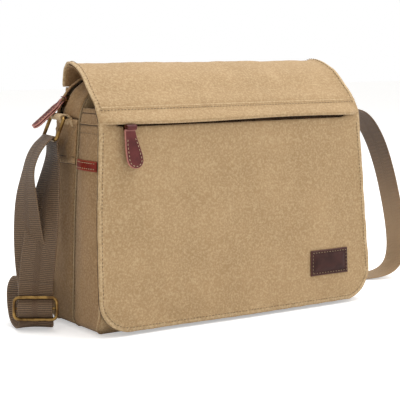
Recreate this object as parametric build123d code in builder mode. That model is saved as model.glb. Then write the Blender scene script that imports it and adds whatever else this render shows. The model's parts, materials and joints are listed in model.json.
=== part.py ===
from build123d import *
import os
from math import cos, pi, radians, sin, sqrt

os.makedirs("parts", exist_ok=True)

# All sizes are millimetres. X runs along the bag, -Y is the flap side, Z is up, and the floor is Z = 0.

# Body of the bag
BODY_WIDTH_BOTTOM = 368.0
BODY_WIDTH_TOP = 350.0
BODY_HEIGHT = 270.0
TOP_CORNER_RADIUS = 44.0
BOTTOM_CORNER_RADIUS = 14.0
BACK_Y = 54.0
WALL_Y = 4.0
FRONT_FOOT_Y = -57.0
FRONT_LEAN = 20.0
FRONT_HEIGHT = 247.0
CANVAS = 2.5
LINING = 0.8
GUSSET_TOP = 232.0
FRONT_TOP = 242.0

# Main compartment zip
ZIP_Y = 38.0
ZIP_TAPE_WIDTH = 10.0
ZIP_TAPE_THICKNESS = 1.2
TEETH_WIDTH = 5.0
TEETH_HEIGHT = 1.6
SLIDER_CLEARANCE = 0.3
SLIDER_LENGTH = 12.0
SLIDER_WIDTH = 8.0
SLIDER_HEIGHT = 2.2
MAIN_SLIDER_ANGLE = 28.0
BAIL_HEIGHT = 5.4
BAIL_WIRE = 1.6
MAIN_PULL_LENGTH = 46.0
MAIN_PULL_WIDTH = 11.0

# Inside of the bag
LAPTOP_DIVIDER_THICKNESS = 5.0
LAPTOP_DIVIDER_Y = 20.0
LAPTOP_DIVIDER_HEIGHT = 215.0
SLIP_POCKET_WIDTH = 240.0
SLIP_POCKET_BOTTOM = 50.0
SLIP_POCKET_TOP = 185.0

# Flap
FLAP_GAP = 3.0
FLAP_WIDTH_BOTTOM = 378.0
FLAP_WIDTH_TOP = 360.0
FLAP_CREST_WIDTH = 351.0
FLAP_FRONT_TOP = 247.0
FLAP_FRONT_BOTTOM = 4.0
FLAP_CORNER_RADIUS = 38.0
FLAP_LINING = 1.2
FLAP_CANVAS = 2.0
FLAP_ROLL_THICKNESS = 3.0
POCKET_PANEL_TOP = 217.0
UPPER_PANEL_BOTTOM = 229.0
FLAP_ZIP_T = 223.0
FLAP_TEETH_HALF_LENGTH = 160.0
FLAP_SLIDER_X = -146.0
PLACKET_BOTTOM = 227.5
PLACKET_TOP = 244.5
PLACKET_THICKNESS = 1.5
PLACKET_STAND_OFF = 2.4
FLAP_PULL_LENGTH = 44.0
FLAP_PULL_WIDTH = 20.0
FLAP_PULL_THICKNESS = 3.4
FLAP_HINGE_Y = 58.8
FLAP_HINGE_Z = 263.8

# Trim
PATCH_WIDTH = 56.0
PATCH_HEIGHT = 29.0
PATCH_THICKNESS = 1.8
PATCH_X = 123.0
PATCH_T = 52.5
SNAP_RADIUS = 9.0
SNAP_X = 95.0
SNAP_T = 60.0
STRAP_PATCH_BOTTOM = 182.0
STRAP_PATCH_TOP = 229.0
STRAP_PATCH_THICKNESS = 1.5
SIDE_TAB_Z = 182.0
SIDE_TAB_HEIGHT = 12.0
SIDE_TAB_THICKNESS = 1.5

# Rings, strap and strap slider
WEBBING_WIDTH = 38.0
WEBBING_THICKNESS = 1.8
RING_WIRE = 4.0
RING_WIDTH = 50.0
RING_DROP = 26.0
RING_LEAN = 22.6
RING_YAW = 9.5
RING_X = 190.0
RING_Y = 30.0
RING_Z = 232.0
TAB_WIDTH = 32.0
TAB_THICKNESS = 1.8
GLIDE_WIRE = 3.6
GLIDE_WIDTH = 50.0
GLIDE_HEIGHT = 28.0


def half_width(z):
    """Half the body's width at height z."""
    return BODY_WIDTH_BOTTOM / 2 - (BODY_WIDTH_BOTTOM - BODY_WIDTH_TOP) / 2 * z / BODY_HEIGHT


def body_corners(inset):
    """The four corners of the body seen from the front, drawn in by inset."""
    low = half_width(0) - inset
    high = half_width(BODY_HEIGHT) - inset
    return [(-low, inset), (low, inset), (high, BODY_HEIGHT - inset), (-high, BODY_HEIGHT - inset)]


def flap_half(t):
    """Half the flap's width at distance t up its front."""
    share = (t - FLAP_FRONT_BOTTOM) / (FLAP_FRONT_TOP - FLAP_FRONT_BOTTOM)
    return FLAP_WIDTH_BOTTOM / 2 - (FLAP_WIDTH_BOTTOM - FLAP_WIDTH_TOP) / 2 * share


def flap_corners(low, high, inset=0.0):
    """The four corners of a stretch of the flap's front between two heights."""
    return [
        (-flap_half(low) + inset, low),
        (flap_half(low) - inset, low),
        (flap_half(high) - inset, high),
        (-flap_half(high) + inset, high),
    ]


def back_plane(y):
    """The upright plane at depth y, facing forward."""
    return Plane.XZ.offset(-y)


# Leaning planes of the front compartment and of the flap's front
lean_length = sqrt(FRONT_LEAN**2 + FRONT_HEIGHT**2)
lean_up = FRONT_LEAN / lean_length
lean_out = FRONT_HEIGHT / lean_length
front_outside = Plane(origin=(0, FRONT_FOOT_Y, 0), x_dir=(1, 0, 0), z_dir=(0, -lean_out, lean_up))
front_inside = front_outside.offset(-CANVAS)
front_lining_face = front_outside.offset(-CANVAS - LINING)
flap_plane = front_outside.offset(FLAP_GAP)


def flap_side(x):
    """The plane across the flap's front at x: its first axis runs up the flap, its second out of it."""
    return Plane(origin=flap_plane.origin + Vector(x, 0, 0), x_dir=flap_plane.y_dir, z_dir=(1, 0, 0))


# ---------------------------------------------------------------- main compartment

with BuildPart() as back_panel:
    with BuildSketch(back_plane(BACK_Y)) as outline:
        Polygon(*body_corners(0), align=None)
        fillet(outline.vertices().group_by(Axis.Y)[0], BOTTOM_CORNER_RADIUS)
        fillet(outline.vertices().group_by(Axis.Y)[-1], TOP_CORNER_RADIUS)
    extrude(amount=CANVAS)

with BuildPart() as compartment_wall:
    with BuildSketch(back_plane(WALL_Y + CANVAS)) as outline:
        Polygon(*body_corners(0), align=None)
        fillet(outline.vertices().group_by(Axis.Y)[0], BOTTOM_CORNER_RADIUS)
        fillet(outline.vertices().group_by(Axis.Y)[-1], TOP_CORNER_RADIUS)
    extrude(amount=CANVAS)

MAIN_BACK = BACK_Y - CANVAS
MAIN_FRONT = WALL_Y + CANVAS
MAIN_DEPTH = MAIN_BACK - MAIN_FRONT

with BuildPart() as main_gusset:
    with BuildSketch(back_plane(MAIN_BACK)) as outline:
        Polygon(*body_corners(0), align=None)
        fillet(outline.vertices().group_by(Axis.Y)[0], BOTTOM_CORNER_RADIUS)
        fillet(outline.vertices().group_by(Axis.Y)[-1], TOP_CORNER_RADIUS)
        offset(amount=-CANVAS, mode=Mode.SUBTRACT)
    extrude(amount=MAIN_DEPTH)
    with BuildSketch(Plane.XY.offset(GUSSET_TOP)):
        Rectangle(500, 200)
    extrude(amount=100, mode=Mode.SUBTRACT)

with BuildPart() as main_lining:
    with BuildSketch(back_plane(MAIN_BACK)) as outline:
        Polygon(*body_corners(0), align=None)
        fillet(outline.vertices().group_by(Axis.Y)[0], BOTTOM_CORNER_RADIUS)
        fillet(outline.vertices().group_by(Axis.Y)[-1], TOP_CORNER_RADIUS)
        offset(amount=-CANVAS, mode=Mode.REPLACE)
    extrude(amount=MAIN_DEPTH)
    with BuildSketch(back_plane(MAIN_BACK - LINING)) as outline:
        Polygon(*body_corners(0), align=None)
        fillet(outline.vertices().group_by(Axis.Y)[0], BOTTOM_CORNER_RADIUS)
        fillet(outline.vertices().group_by(Axis.Y)[-1], TOP_CORNER_RADIUS)
        offset(amount=-CANVAS - LINING, mode=Mode.REPLACE)
    extrude(amount=MAIN_DEPTH - 2 * LINING, mode=Mode.SUBTRACT)
    with BuildSketch(Plane.XY.offset(GUSSET_TOP)):
        Rectangle(500, 200)
    extrude(amount=100, mode=Mode.SUBTRACT)

with BuildPart() as laptop_divider:
    with BuildSketch(back_plane(LAPTOP_DIVIDER_Y + LAPTOP_DIVIDER_THICKNESS)) as outline:
        Polygon(
            (-half_width(0) + CANVAS + LINING + 0.3, CANVAS + LINING),
            (half_width(0) - CANVAS - LINING - 0.3, CANVAS + LINING),
            (half_width(LAPTOP_DIVIDER_HEIGHT) - CANVAS - LINING - 0.3, LAPTOP_DIVIDER_HEIGHT),
            (-half_width(LAPTOP_DIVIDER_HEIGHT) + CANVAS + LINING + 0.3, LAPTOP_DIVIDER_HEIGHT),
            align=None,
        )
        fillet(outline.vertices(), BOTTOM_CORNER_RADIUS)
    extrude(amount=LAPTOP_DIVIDER_THICKNESS)


# The zip strips bend over the body's top corners
REAR_STRIP_FRONT = ZIP_Y + ZIP_TAPE_WIDTH / 2
FRONT_STRIP_BACK = ZIP_Y - ZIP_TAPE_WIDTH / 2

with BuildPart() as zip_strip_rear:
    with BuildSketch(back_plane(MAIN_BACK)) as outline:
        Polygon(*body_corners(0), align=None)
        fillet(outline.vertices().group_by(Axis.Y)[0], BOTTOM_CORNER_RADIUS)
        fillet(outline.vertices().group_by(Axis.Y)[-1], TOP_CORNER_RADIUS)
        offset(amount=-CANVAS, mode=Mode.SUBTRACT)
    extrude(amount=MAIN_BACK - REAR_STRIP_FRONT)
    with BuildSketch(Plane.XY):
        Rectangle(500, 200)
    extrude(amount=GUSSET_TOP, mode=Mode.SUBTRACT)

with BuildPart() as zip_strip_front:
    with BuildSketch(back_plane(FRONT_STRIP_BACK)) as outline:
        Polygon(*body_corners(0), align=None)
        fillet(outline.vertices().group_by(Axis.Y)[0], BOTTOM_CORNER_RADIUS)
        fillet(outline.vertices().group_by(Axis.Y)[-1], TOP_CORNER_RADIUS)
        offset(amount=-CANVAS, mode=Mode.SUBTRACT)
    extrude(amount=FRONT_STRIP_BACK - MAIN_FRONT)
    with BuildSketch(Plane.XY):
        Rectangle(500, 200)
    extrude(amount=GUSSET_TOP, mode=Mode.SUBTRACT)

with BuildPart() as main_zip_tape:
    with BuildSketch(back_plane(REAR_STRIP_FRONT)) as outline:
        Polygon(*body_corners(0), align=None)
        fillet(outline.vertices().group_by(Axis.Y)[0], BOTTOM_CORNER_RADIUS)
        fillet(outline.vertices().group_by(Axis.Y)[-1], TOP_CORNER_RADIUS)
        offset(amount=-ZIP_TAPE_THICKNESS, mode=Mode.SUBTRACT)
    extrude(amount=ZIP_TAPE_WIDTH)
    with BuildSketch(Plane.XY):
        Rectangle(500, 200)
    extrude(amount=GUSSET_TOP, mode=Mode.SUBTRACT)

with BuildPart() as main_zip_teeth:
    with BuildSketch(back_plane(ZIP_Y + TEETH_WIDTH / 2)) as outline:
        Polygon(*body_corners(-TEETH_HEIGHT), align=None)
        fillet(outline.vertices().group_by(Axis.Y)[0], BOTTOM_CORNER_RADIUS)
        fillet(outline.vertices().group_by(Axis.Y)[-1], TOP_CORNER_RADIUS + TEETH_HEIGHT)
        offset(amount=-TEETH_HEIGHT, mode=Mode.SUBTRACT)
    extrude(amount=TEETH_WIDTH)
    with BuildSketch(Plane.XY.offset(-5)):
        Rectangle(500, 200)
    extrude(amount=GUSSET_TOP + 5, mode=Mode.SUBTRACT)

# The slider rests on the left shoulder; the corner's centre is where the slider turns about
side_slope = (BODY_WIDTH_BOTTOM - BODY_WIDTH_TOP) / 2 / BODY_HEIGHT
CORNER_Z = BODY_HEIGHT - TOP_CORNER_RADIUS
CORNER_X = -half_width(CORNER_Z) + TOP_CORNER_RADIUS * sqrt(1 + side_slope**2)
slider_angle = radians(MAIN_SLIDER_ANGLE)
slider_out = Vector(-cos(slider_angle), 0, sin(slider_angle))
slider_along = Vector(sin(slider_angle), 0, cos(slider_angle))
corner_centre = Vector(CORNER_X, ZIP_Y, CORNER_Z)
TEETH_TOP = TOP_CORNER_RADIUS + TEETH_HEIGHT
SLIDER_FACE = TEETH_TOP + SLIDER_CLEARANCE
MAIN_BAR = SLIDER_FACE + SLIDER_HEIGHT + BAIL_HEIGHT - BAIL_WIRE / 2
half_turn = SLIDER_LENGTH / 2 / SLIDER_FACE * 180 / pi

with BuildPart() as main_zip_slider:
    with BuildSketch(back_plane(ZIP_Y + SLIDER_WIDTH / 2)):
        with BuildLine():
            low = 180 - MAIN_SLIDER_ANGLE - half_turn
            CenterArc((CORNER_X, CORNER_Z), SLIDER_FACE, low, 2 * half_turn)
            CenterArc((CORNER_X, CORNER_Z), SLIDER_FACE + SLIDER_HEIGHT, low, 2 * half_turn)
            for angle in (low, low + 2 * half_turn):
                way = Vector(cos(radians(angle)), sin(radians(angle)))
                centre = Vector(CORNER_X, CORNER_Z)
                Line(centre + way * SLIDER_FACE, centre + way * (SLIDER_FACE + SLIDER_HEIGHT))
        make_face()
    extrude(amount=SLIDER_WIDTH)
    bail_foot = corner_centre + slider_out * (SLIDER_FACE + SLIDER_HEIGHT - 0.4)
    bail_plane = Plane(origin=bail_foot - slider_along * (BAIL_WIRE / 2), x_dir=(0, 1, 0), z_dir=slider_along)
    bail_up = 1 if bail_plane.y_dir.dot(slider_out) > 0 else -1
    with BuildSketch(bail_plane):
        with Locations((0, bail_up * (BAIL_HEIGHT + 0.4) / 2)):
            Rectangle(SLIDER_WIDTH, BAIL_HEIGHT + 0.4)
        with Locations((0, bail_up * (BAIL_HEIGHT + 0.4 - BAIL_WIRE) / 2)):
            Rectangle(SLIDER_WIDTH - 2 * BAIL_WIRE, BAIL_HEIGHT + 0.4 - BAIL_WIRE, mode=Mode.SUBTRACT)
    extrude(amount=BAIL_WIRE)

# The leather pull folds round the bail's bar and sticks out, stiff
main_bar = corner_centre + slider_out * MAIN_BAR
pull_way = Vector(-0.78, 0, -0.626).normalized()
HEAD_INSIDE = 1.35
HEAD_OUTSIDE = 2.2
HEAD_WIDTH = SLIDER_WIDTH - 2 * BAIL_WIRE - 0.6

with BuildPart() as main_zip_pull:
    with BuildSketch(Plane(origin=main_bar + Vector(0, HEAD_WIDTH / 2, 0), x_dir=pull_way, z_dir=(0, -1, 0))):
        Circle(HEAD_OUTSIDE)
        with Locations((HEAD_OUTSIDE / 2 + 3, 0)):
            Rectangle(HEAD_OUTSIDE + 6, 2 * HEAD_OUTSIDE)
        Circle(HEAD_INSIDE, mode=Mode.SUBTRACT)
    extrude(amount=HEAD_WIDTH)
    tongue_out = pull_way.cross(Vector(0, 1, 0))
    tongue_plane = Plane(origin=main_bar + pull_way * 7, x_dir=pull_way, z_dir=tongue_out)
    with BuildSketch(tongue_plane) as tongue:
        with Locations((MAIN_PULL_LENGTH / 2 - 3, 0)):
            Rectangle(MAIN_PULL_LENGTH - 6, MAIN_PULL_WIDTH)
        fillet(tongue.vertices().group_by(Axis.X)[-1], 4)
    extrude(amount=HEAD_OUTSIDE, both=True)

# ---------------------------------------------------------------- front compartment

with BuildPart() as front_gusset:
    with BuildSketch(back_plane(WALL_Y)) as outline:
        Polygon(*body_corners(0), align=None)
        fillet(outline.vertices().group_by(Axis.Y)[0], BOTTOM_CORNER_RADIUS)
        fillet(outline.vertices().group_by(Axis.Y)[-1], TOP_CORNER_RADIUS)
        offset(amount=-CANVAS, mode=Mode.SUBTRACT)
    extrude(amount=90)
    split(bisect_by=front_inside, keep=Keep.BOTTOM)
    with BuildSketch(Plane.XY.offset(FRONT_TOP)):
        Rectangle(500, 300)
    extrude(amount=100, mode=Mode.SUBTRACT)

with BuildPart() as front_panel:
    with BuildSketch(back_plane(WALL_Y)) as outline:
        Polygon(*body_corners(0), align=None)
        fillet(outline.vertices().group_by(Axis.Y)[0], BOTTOM_CORNER_RADIUS)
        fillet(outline.vertices().group_by(Axis.Y)[-1], TOP_CORNER_RADIUS)
    extrude(amount=90)
    split(bisect_by=front_outside, keep=Keep.BOTTOM)
    split(bisect_by=front_inside, keep=Keep.TOP)
    with BuildSketch(Plane.XY.offset(FRONT_TOP)):
        Rectangle(500, 300)
    extrude(amount=100, mode=Mode.SUBTRACT)

with BuildPart() as front_lining:
    with BuildSketch(back_plane(WALL_Y)) as outline:
        Polygon(*body_corners(0), align=None)
        fillet(outline.vertices().group_by(Axis.Y)[0], BOTTOM_CORNER_RADIUS)
        fillet(outline.vertices().group_by(Axis.Y)[-1], TOP_CORNER_RADIUS)
        offset(amount=-CANVAS, mode=Mode.REPLACE)
    extrude(amount=90)
    split(bisect_by=front_inside, keep=Keep.BOTTOM)
    with BuildSketch(back_plane(WALL_Y - LINING)) as outline:
        Polygon(*body_corners(0), align=None)
        fillet(outline.vertices().group_by(Axis.Y)[0], BOTTOM_CORNER_RADIUS)
        fillet(outline.vertices().group_by(Axis.Y)[-1], TOP_CORNER_RADIUS)
        offset(amount=-CANVAS - LINING, mode=Mode.REPLACE)
    front_cavity = extrude(amount=90, mode=Mode.PRIVATE)
    cavity_behind = split(front_cavity, bisect_by=front_lining_face, keep=Keep.BOTTOM, mode=Mode.PRIVATE)
    add(cavity_behind, mode=Mode.SUBTRACT)
    with BuildSketch(Plane.XY.offset(FRONT_TOP)):
        Rectangle(500, 300)
    extrude(amount=100, mode=Mode.SUBTRACT)

with BuildPart() as slip_pocket:
    with BuildSketch(back_plane(WALL_Y - LINING)) as outline:
        with Locations((0, (SLIP_POCKET_BOTTOM + SLIP_POCKET_TOP) / 2)):
            Rectangle(SLIP_POCKET_WIDTH, SLIP_POCKET_TOP - SLIP_POCKET_BOTTOM)
        fillet(outline.vertices().group_by(Axis.Y)[0], 10)
    extrude(amount=LINING)

# ---------------------------------------------------------------- flap

with BuildPart() as flap_lining:
    with BuildSketch(flap_plane) as outline:
        Polygon(*flap_corners(FLAP_FRONT_BOTTOM, FLAP_FRONT_TOP), align=None)
        fillet(outline.vertices().group_by(Axis.Y)[0], FLAP_CORNER_RADIUS)
    extrude(amount=FLAP_LINING)

with BuildPart() as flap_pocket_panel:
    with BuildSketch(flap_plane.offset(FLAP_LINING)) as outline:
        Polygon(*flap_corners(FLAP_FRONT_BOTTOM, POCKET_PANEL_TOP), align=None)
        fillet(outline.vertices().group_by(Axis.Y)[0], FLAP_CORNER_RADIUS)
    extrude(amount=FLAP_CANVAS)

with BuildPart() as flap_zip_tape:
    with BuildSketch(flap_plane.offset(FLAP_LINING)):
        Polygon(*flap_corners(POCKET_PANEL_TOP, UPPER_PANEL_BOTTOM), align=None)
    extrude(amount=ZIP_TAPE_THICKNESS)

with BuildPart() as flap_upper_panel:
    with BuildSketch(flap_plane.offset(FLAP_LINING)):
        Polygon(*flap_corners(UPPER_PANEL_BOTTOM, FLAP_FRONT_TOP), align=None)
    extrude(amount=FLAP_CANVAS)

TEETH_FOOT = FLAP_LINING + ZIP_TAPE_THICKNESS
with BuildPart() as flap_zip_teeth:
    with BuildSketch(flap_plane.offset(TEETH_FOOT)):
        with Locations((0, FLAP_ZIP_T)):
            Rectangle(2 * FLAP_TEETH_HALF_LENGTH, TEETH_WIDTH)
    extrude(amount=TEETH_HEIGHT)

FLAP_FACE = FLAP_LINING + FLAP_CANVAS
with BuildPart() as placket:
    with BuildSketch(flap_side(-flap_half(PLACKET_TOP))):
        Polygon(
            (PLACKET_TOP, FLAP_FACE),
            (PLACKET_TOP, FLAP_FACE + PLACKET_THICKNESS),
            (PLACKET_BOTTOM, FLAP_FACE + PLACKET_THICKNESS + PLACKET_STAND_OFF),
            (PLACKET_BOTTOM, FLAP_FACE + PLACKET_STAND_OFF),
            (PLACKET_TOP - 6, FLAP_FACE),
            align=None,
        )
    extrude(amount=2 * flap_half(PLACKET_TOP))

flap_slider_foot = TEETH_FOOT + TEETH_HEIGHT + SLIDER_CLEARANCE
with BuildPart() as flap_zip_slider:
    with BuildSketch(flap_plane.offset(flap_slider_foot)) as outline:
        with Locations((FLAP_SLIDER_X, FLAP_ZIP_T)):
            Rectangle(SLIDER_LENGTH, SLIDER_WIDTH)
        fillet(outline.vertices(), 2.5)
    extrude(amount=SLIDER_HEIGHT)
    with BuildSketch(flap_plane.offset(flap_slider_foot + SLIDER_HEIGHT)):
        for side in (-1, 1):
            with Locations((FLAP_SLIDER_X + side * (SLIDER_LENGTH - BAIL_WIRE - 2) / 2, FLAP_ZIP_T)):
                Rectangle(BAIL_WIRE, BAIL_WIRE)
    extrude(amount=BAIL_HEIGHT)
    with BuildSketch(flap_plane.offset(flap_slider_foot + SLIDER_HEIGHT + BAIL_HEIGHT - BAIL_WIRE)):
        with Locations((FLAP_SLIDER_X, FLAP_ZIP_T)):
            Rectangle(SLIDER_LENGTH - 2, BAIL_WIRE)
    extrude(amount=BAIL_WIRE)

FLAP_BAR_N = flap_slider_foot + SLIDER_HEIGHT + BAIL_HEIGHT - BAIL_WIRE / 2
FLAP_HEAD_WIDTH = SLIDER_LENGTH - 2 - 2 * BAIL_WIRE - 0.6
with BuildPart() as flap_zip_pull:
    with BuildSketch(flap_side(FLAP_SLIDER_X - FLAP_HEAD_WIDTH / 2)):
        with Locations((FLAP_ZIP_T, FLAP_BAR_N)):
            Circle(HEAD_OUTSIDE)
        with Locations((FLAP_ZIP_T - 3.5, FLAP_BAR_N)):
            Rectangle(7, 2 * HEAD_OUTSIDE)
        with Locations((FLAP_ZIP_T, FLAP_BAR_N)):
            Circle(HEAD_INSIDE, mode=Mode.SUBTRACT)
    extrude(amount=FLAP_HEAD_WIDTH)
    with BuildSketch(flap_plane.offset(FLAP_BAR_N - FLAP_PULL_THICKNESS / 2)) as drop:
        low = FLAP_ZIP_T - FLAP_PULL_LENGTH
        Polygon(
            (FLAP_SLIDER_X - 3, FLAP_ZIP_T - 6),
            (FLAP_SLIDER_X + 3, FLAP_ZIP_T - 6),
            (FLAP_SLIDER_X + FLAP_PULL_WIDTH / 2, low + 13),
            (FLAP_SLIDER_X + FLAP_PULL_WIDTH / 2, low),
            (FLAP_SLIDER_X - FLAP_PULL_WIDTH / 2, low),
            (FLAP_SLIDER_X - FLAP_PULL_WIDTH / 2, low + 13),
            align=None,
        )
        fillet(drop.vertices().group_by(Axis.Y)[0], FLAP_PULL_WIDTH / 2 - 0.5)
    extrude(amount=FLAP_PULL_THICKNESS)

with BuildPart() as leather_patch:
    with BuildSketch(flap_plane.offset(FLAP_FACE)) as outline:
        with Locations((PATCH_X, PATCH_T)):
            Rectangle(PATCH_WIDTH, PATCH_HEIGHT)
        fillet(outline.vertices(), 1.5)
    extrude(amount=PATCH_THICKNESS)

SNAP_THICKNESS = FLAP_GAP / 2 - 0.1
for side, name in ((-1, "left"), (1, "right")):
    with BuildPart() as snap_socket:
        with BuildSketch(front_outside):
            with Locations((side * SNAP_X, SNAP_T)):
                Circle(SNAP_RADIUS)
        extrude(amount=SNAP_THICKNESS)
    snap_socket.part.label = "snap_socket_" + name
    export_step(snap_socket.part, "parts/snap_socket_" + name + ".step")
    with BuildPart() as snap_stud:
        with BuildSketch(flap_plane):
            with Locations((side * SNAP_X, SNAP_T)):
                Circle(SNAP_RADIUS)
        extrude(amount=-SNAP_THICKNESS)
    snap_stud.part.label = "snap_stud_" + name
    export_step(snap_stud.part, "parts/snap_stud_" + name + ".step")

# The flap's roll runs from the crease above the placket over the top to the seam on the back
crease = flap_plane.origin + flap_plane.y_dir * (FLAP_FRONT_TOP + 1.4) + flap_plane.z_dir * 1.6
roll_start = (crease.Y + 1.9, crease.Z + 1.7)
roll_points = [
    roll_start,
    (-14.0, 276.5),
    (24.0, 291.0),
    (49.0, 288.0),
    (FLAP_HINGE_Y, 274.0),
    (FLAP_HINGE_Y, FLAP_HINGE_Z + 0.2),
]
with BuildPart() as flap_roll:
    with BuildSketch(Plane.YZ.offset(-FLAP_WIDTH_TOP / 2)):
        with BuildLine() as spine:
            FilletPolyline(*roll_points, radius=6)
            offset(amount=FLAP_ROLL_THICKNESS / 2, side=Side.BOTH)
        make_face()
    extrude(amount=FLAP_WIDTH_TOP)
    with BuildSketch(Plane.XZ.offset(-100)):
        Polygon(
            (-FLAP_WIDTH_TOP / 2, roll_start[1] - 5),
            (FLAP_WIDTH_TOP / 2, roll_start[1] - 5),
            (FLAP_CREST_WIDTH / 2, 280),
            (FLAP_CREST_WIDTH / 2, 300),
            (-FLAP_CREST_WIDTH / 2, 300),
            (-FLAP_CREST_WIDTH / 2, 280),
            align=None,
        )
    extrude(amount=200, mode=Mode.INTERSECT)

with BuildPart() as flap_seam_strip:
    with BuildSketch(Plane.XY.offset(244)):
        with Locations((0, BACK_Y + 1.5)):
            Rectangle(FLAP_CREST_WIDTH - 20, 3)
    extrude(amount=FLAP_HINGE_Z - 0.6 - 244)

# ---------------------------------------------------------------- sides, rings and strap


def mirrored(point, side):
    """The point on the left side, or its mirror image on the right side."""
    return Vector(point[0] * side * -1, point[1], point[2])


def ring_frame(side):
    """A ring's upper bar: its centre and its way, then the ways out of the ring's plane and down it."""
    yaw = radians(RING_YAW)
    lean = radians(RING_LEAN)
    along = Vector(sin(yaw), cos(yaw), 0)
    out = Vector(-cos(yaw), sin(yaw), 0)
    down = out * sin(lean) + Vector(0, 0, -cos(lean))
    square = out * cos(lean) + Vector(0, 0, sin(lean))
    centre = Vector(-RING_X, RING_Y, RING_Z)
    return [mirrored((v.X, v.Y, v.Z), side) for v in (centre, along, square, down)]


for side, name in ((-1, "left"), (1, "right")):
    low_x = half_width(STRAP_PATCH_BOTTOM)
    high_x = half_width(STRAP_PATCH_TOP)
    with BuildPart() as strap_patch:
        with BuildSketch(back_plane(MAIN_BACK)):
            Polygon(
                (side * low_x, STRAP_PATCH_BOTTOM),
                (side * (low_x + STRAP_PATCH_THICKNESS), STRAP_PATCH_BOTTOM),
                (side * (high_x + STRAP_PATCH_THICKNESS), STRAP_PATCH_TOP),
                (side * high_x, STRAP_PATCH_TOP),
                align=None,
            )
        extrude(amount=MAIN_DEPTH)
    strap_patch.part.label = "strap_patch_" + name
    export_step(strap_patch.part, "parts/strap_patch_" + name + ".step")

    tab_low = half_width(SIDE_TAB_Z - SIDE_TAB_HEIGHT / 2)
    tab_high = half_width(SIDE_TAB_Z + SIDE_TAB_HEIGHT / 2)
    with BuildPart() as side_tab:
        with BuildSketch(back_plane(WALL_Y)):
            Polygon(
                (side * tab_low, SIDE_TAB_Z - SIDE_TAB_HEIGHT / 2),
                (side * (tab_low + SIDE_TAB_THICKNESS), SIDE_TAB_Z - SIDE_TAB_HEIGHT / 2),
                (side * (tab_high + SIDE_TAB_THICKNESS), SIDE_TAB_Z + SIDE_TAB_HEIGHT / 2),
                (side * tab_high, SIDE_TAB_Z + SIDE_TAB_HEIGHT / 2),
                align=None,
            )
        extrude(amount=90)
        split(bisect_by=front_inside, keep=Keep.BOTTOM)
    side_tab.part.label = "side_tab_" + name
    export_step(side_tab.part, "parts/side_tab_" + name + ".step")

    centre, along, out, down = ring_frame(side)
    eye_inside = RING_WIRE / 2 + 0.3
    foot = Vector(side * (high_x + STRAP_PATCH_THICKNESS), RING_Y, STRAP_PATCH_TOP)
    tail = Vector(foot.X - centre.X, 0, foot.Z - centre.Z)
    tail_way = tail.normalized()
    tab_plane = Plane(origin=centre, x_dir=(1, 0, 0), z_dir=along)
    tail_x = tail.dot(tab_plane.x_dir)
    tail_y = tail.dot(tab_plane.y_dir)
    with BuildPart() as anchor_tab:
        with BuildSketch(tab_plane.offset(-TAB_WIDTH / 2)):
            with BuildLine():
                Polyline((0, 0), (tail_x, tail_y), (tail_x, tail_y - 14 * tab_plane.y_dir.Z))
            trace(line_width=2 * TAB_THICKNESS)
            Circle(eye_inside + TAB_THICKNESS)
            Circle(eye_inside, mode=Mode.SUBTRACT)
        extrude(amount=TAB_WIDTH)
        with BuildSketch(back_plane(MAIN_BACK)):
            Polygon(
                (side * 100, 150),
                (side * (half_width(150) + STRAP_PATCH_THICKNESS), 150),
                (side * (half_width(260) + STRAP_PATCH_THICKNESS), 260),
                (side * 100, 260),
                align=None,
            )
        extrude(amount=MAIN_DEPTH, mode=Mode.SUBTRACT)
    anchor_tab.part.label = "anchor_tab_" + name
    export_step(anchor_tab.part, "parts/anchor_tab_" + name + ".step")

    with BuildPart() as ring:
        with BuildLine() as ring_path:
            half = RING_WIDTH / 2 - RING_WIRE / 2
            corners = [centre + along * half, centre + along * half + down * RING_DROP]
            corners += [centre - along * half + down * RING_DROP, centre - along * half]
            FilletPolyline(*corners, radius=5, close=True)
        start = ring_path.edges()[0]
        with BuildSketch(Plane(origin=start @ 0, z_dir=start % 0)):
            Circle(RING_WIRE / 2)
        sweep(path=ring_path.wires()[0])
    ring.part.label = "ring_" + name
    export_step(ring.part, "parts/ring_" + name + ".step")

# The strap's slider stands beside the bag's left foot, facing the front left
glide_centre = Vector(-231.0, 10.0, 26.0)
glide_across = Vector(0.83, -0.558, 0).normalized()
glide_face = Vector(-0.558, -0.83, 0).normalized()
up = Vector(0, 0, 1)
GLIDE_BAR = (GLIDE_HEIGHT - GLIDE_WIRE) / 2

with BuildPart() as glide_frame:
    with BuildLine() as glide_path:
        half = GLIDE_WIDTH / 2 - GLIDE_WIRE / 2
        corners = [glide_centre + glide_across * half + up * GLIDE_BAR]
        corners += [glide_centre + glide_across * half - up * GLIDE_BAR]
        corners += [glide_centre - glide_across * half - up * GLIDE_BAR]
        corners += [glide_centre - glide_across * half + up * GLIDE_BAR]
        FilletPolyline(*corners, radius=6, close=True)
    start = glide_path.edges()[0]
    with BuildSketch(Plane(origin=start @ 0, z_dir=start % 0)):
        Circle(GLIDE_WIRE / 2)
    sweep(path=glide_path.wires()[0])

bar_start = glide_centre - glide_across * (GLIDE_WIDTH / 2 - GLIDE_WIRE)
bar_plane = Plane(origin=bar_start, x_dir=up, z_dir=glide_across)
with BuildPart() as glide_bar:
    with BuildSketch(bar_plane):
        Circle(1.5)
    extrude(amount=GLIDE_WIDTH - 2 * GLIDE_WIRE)


def station_planes(stations):
    """A plane across the strap at each station, which is a centre point and the strap's width direction."""
    planes = []
    for number, (point, wide) in enumerate(stations):
        before = stations[max(number - 1, 0)][0]
        after = stations[min(number + 1, len(stations) - 1)][0]
        way = (Vector(*after) - Vector(*before)).normalized()
        across = Vector(*wide)
        across = (across - way * across.dot(way)).normalized()
        planes.append(Plane(origin=point, x_dir=across, z_dir=way))
    return planes


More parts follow.
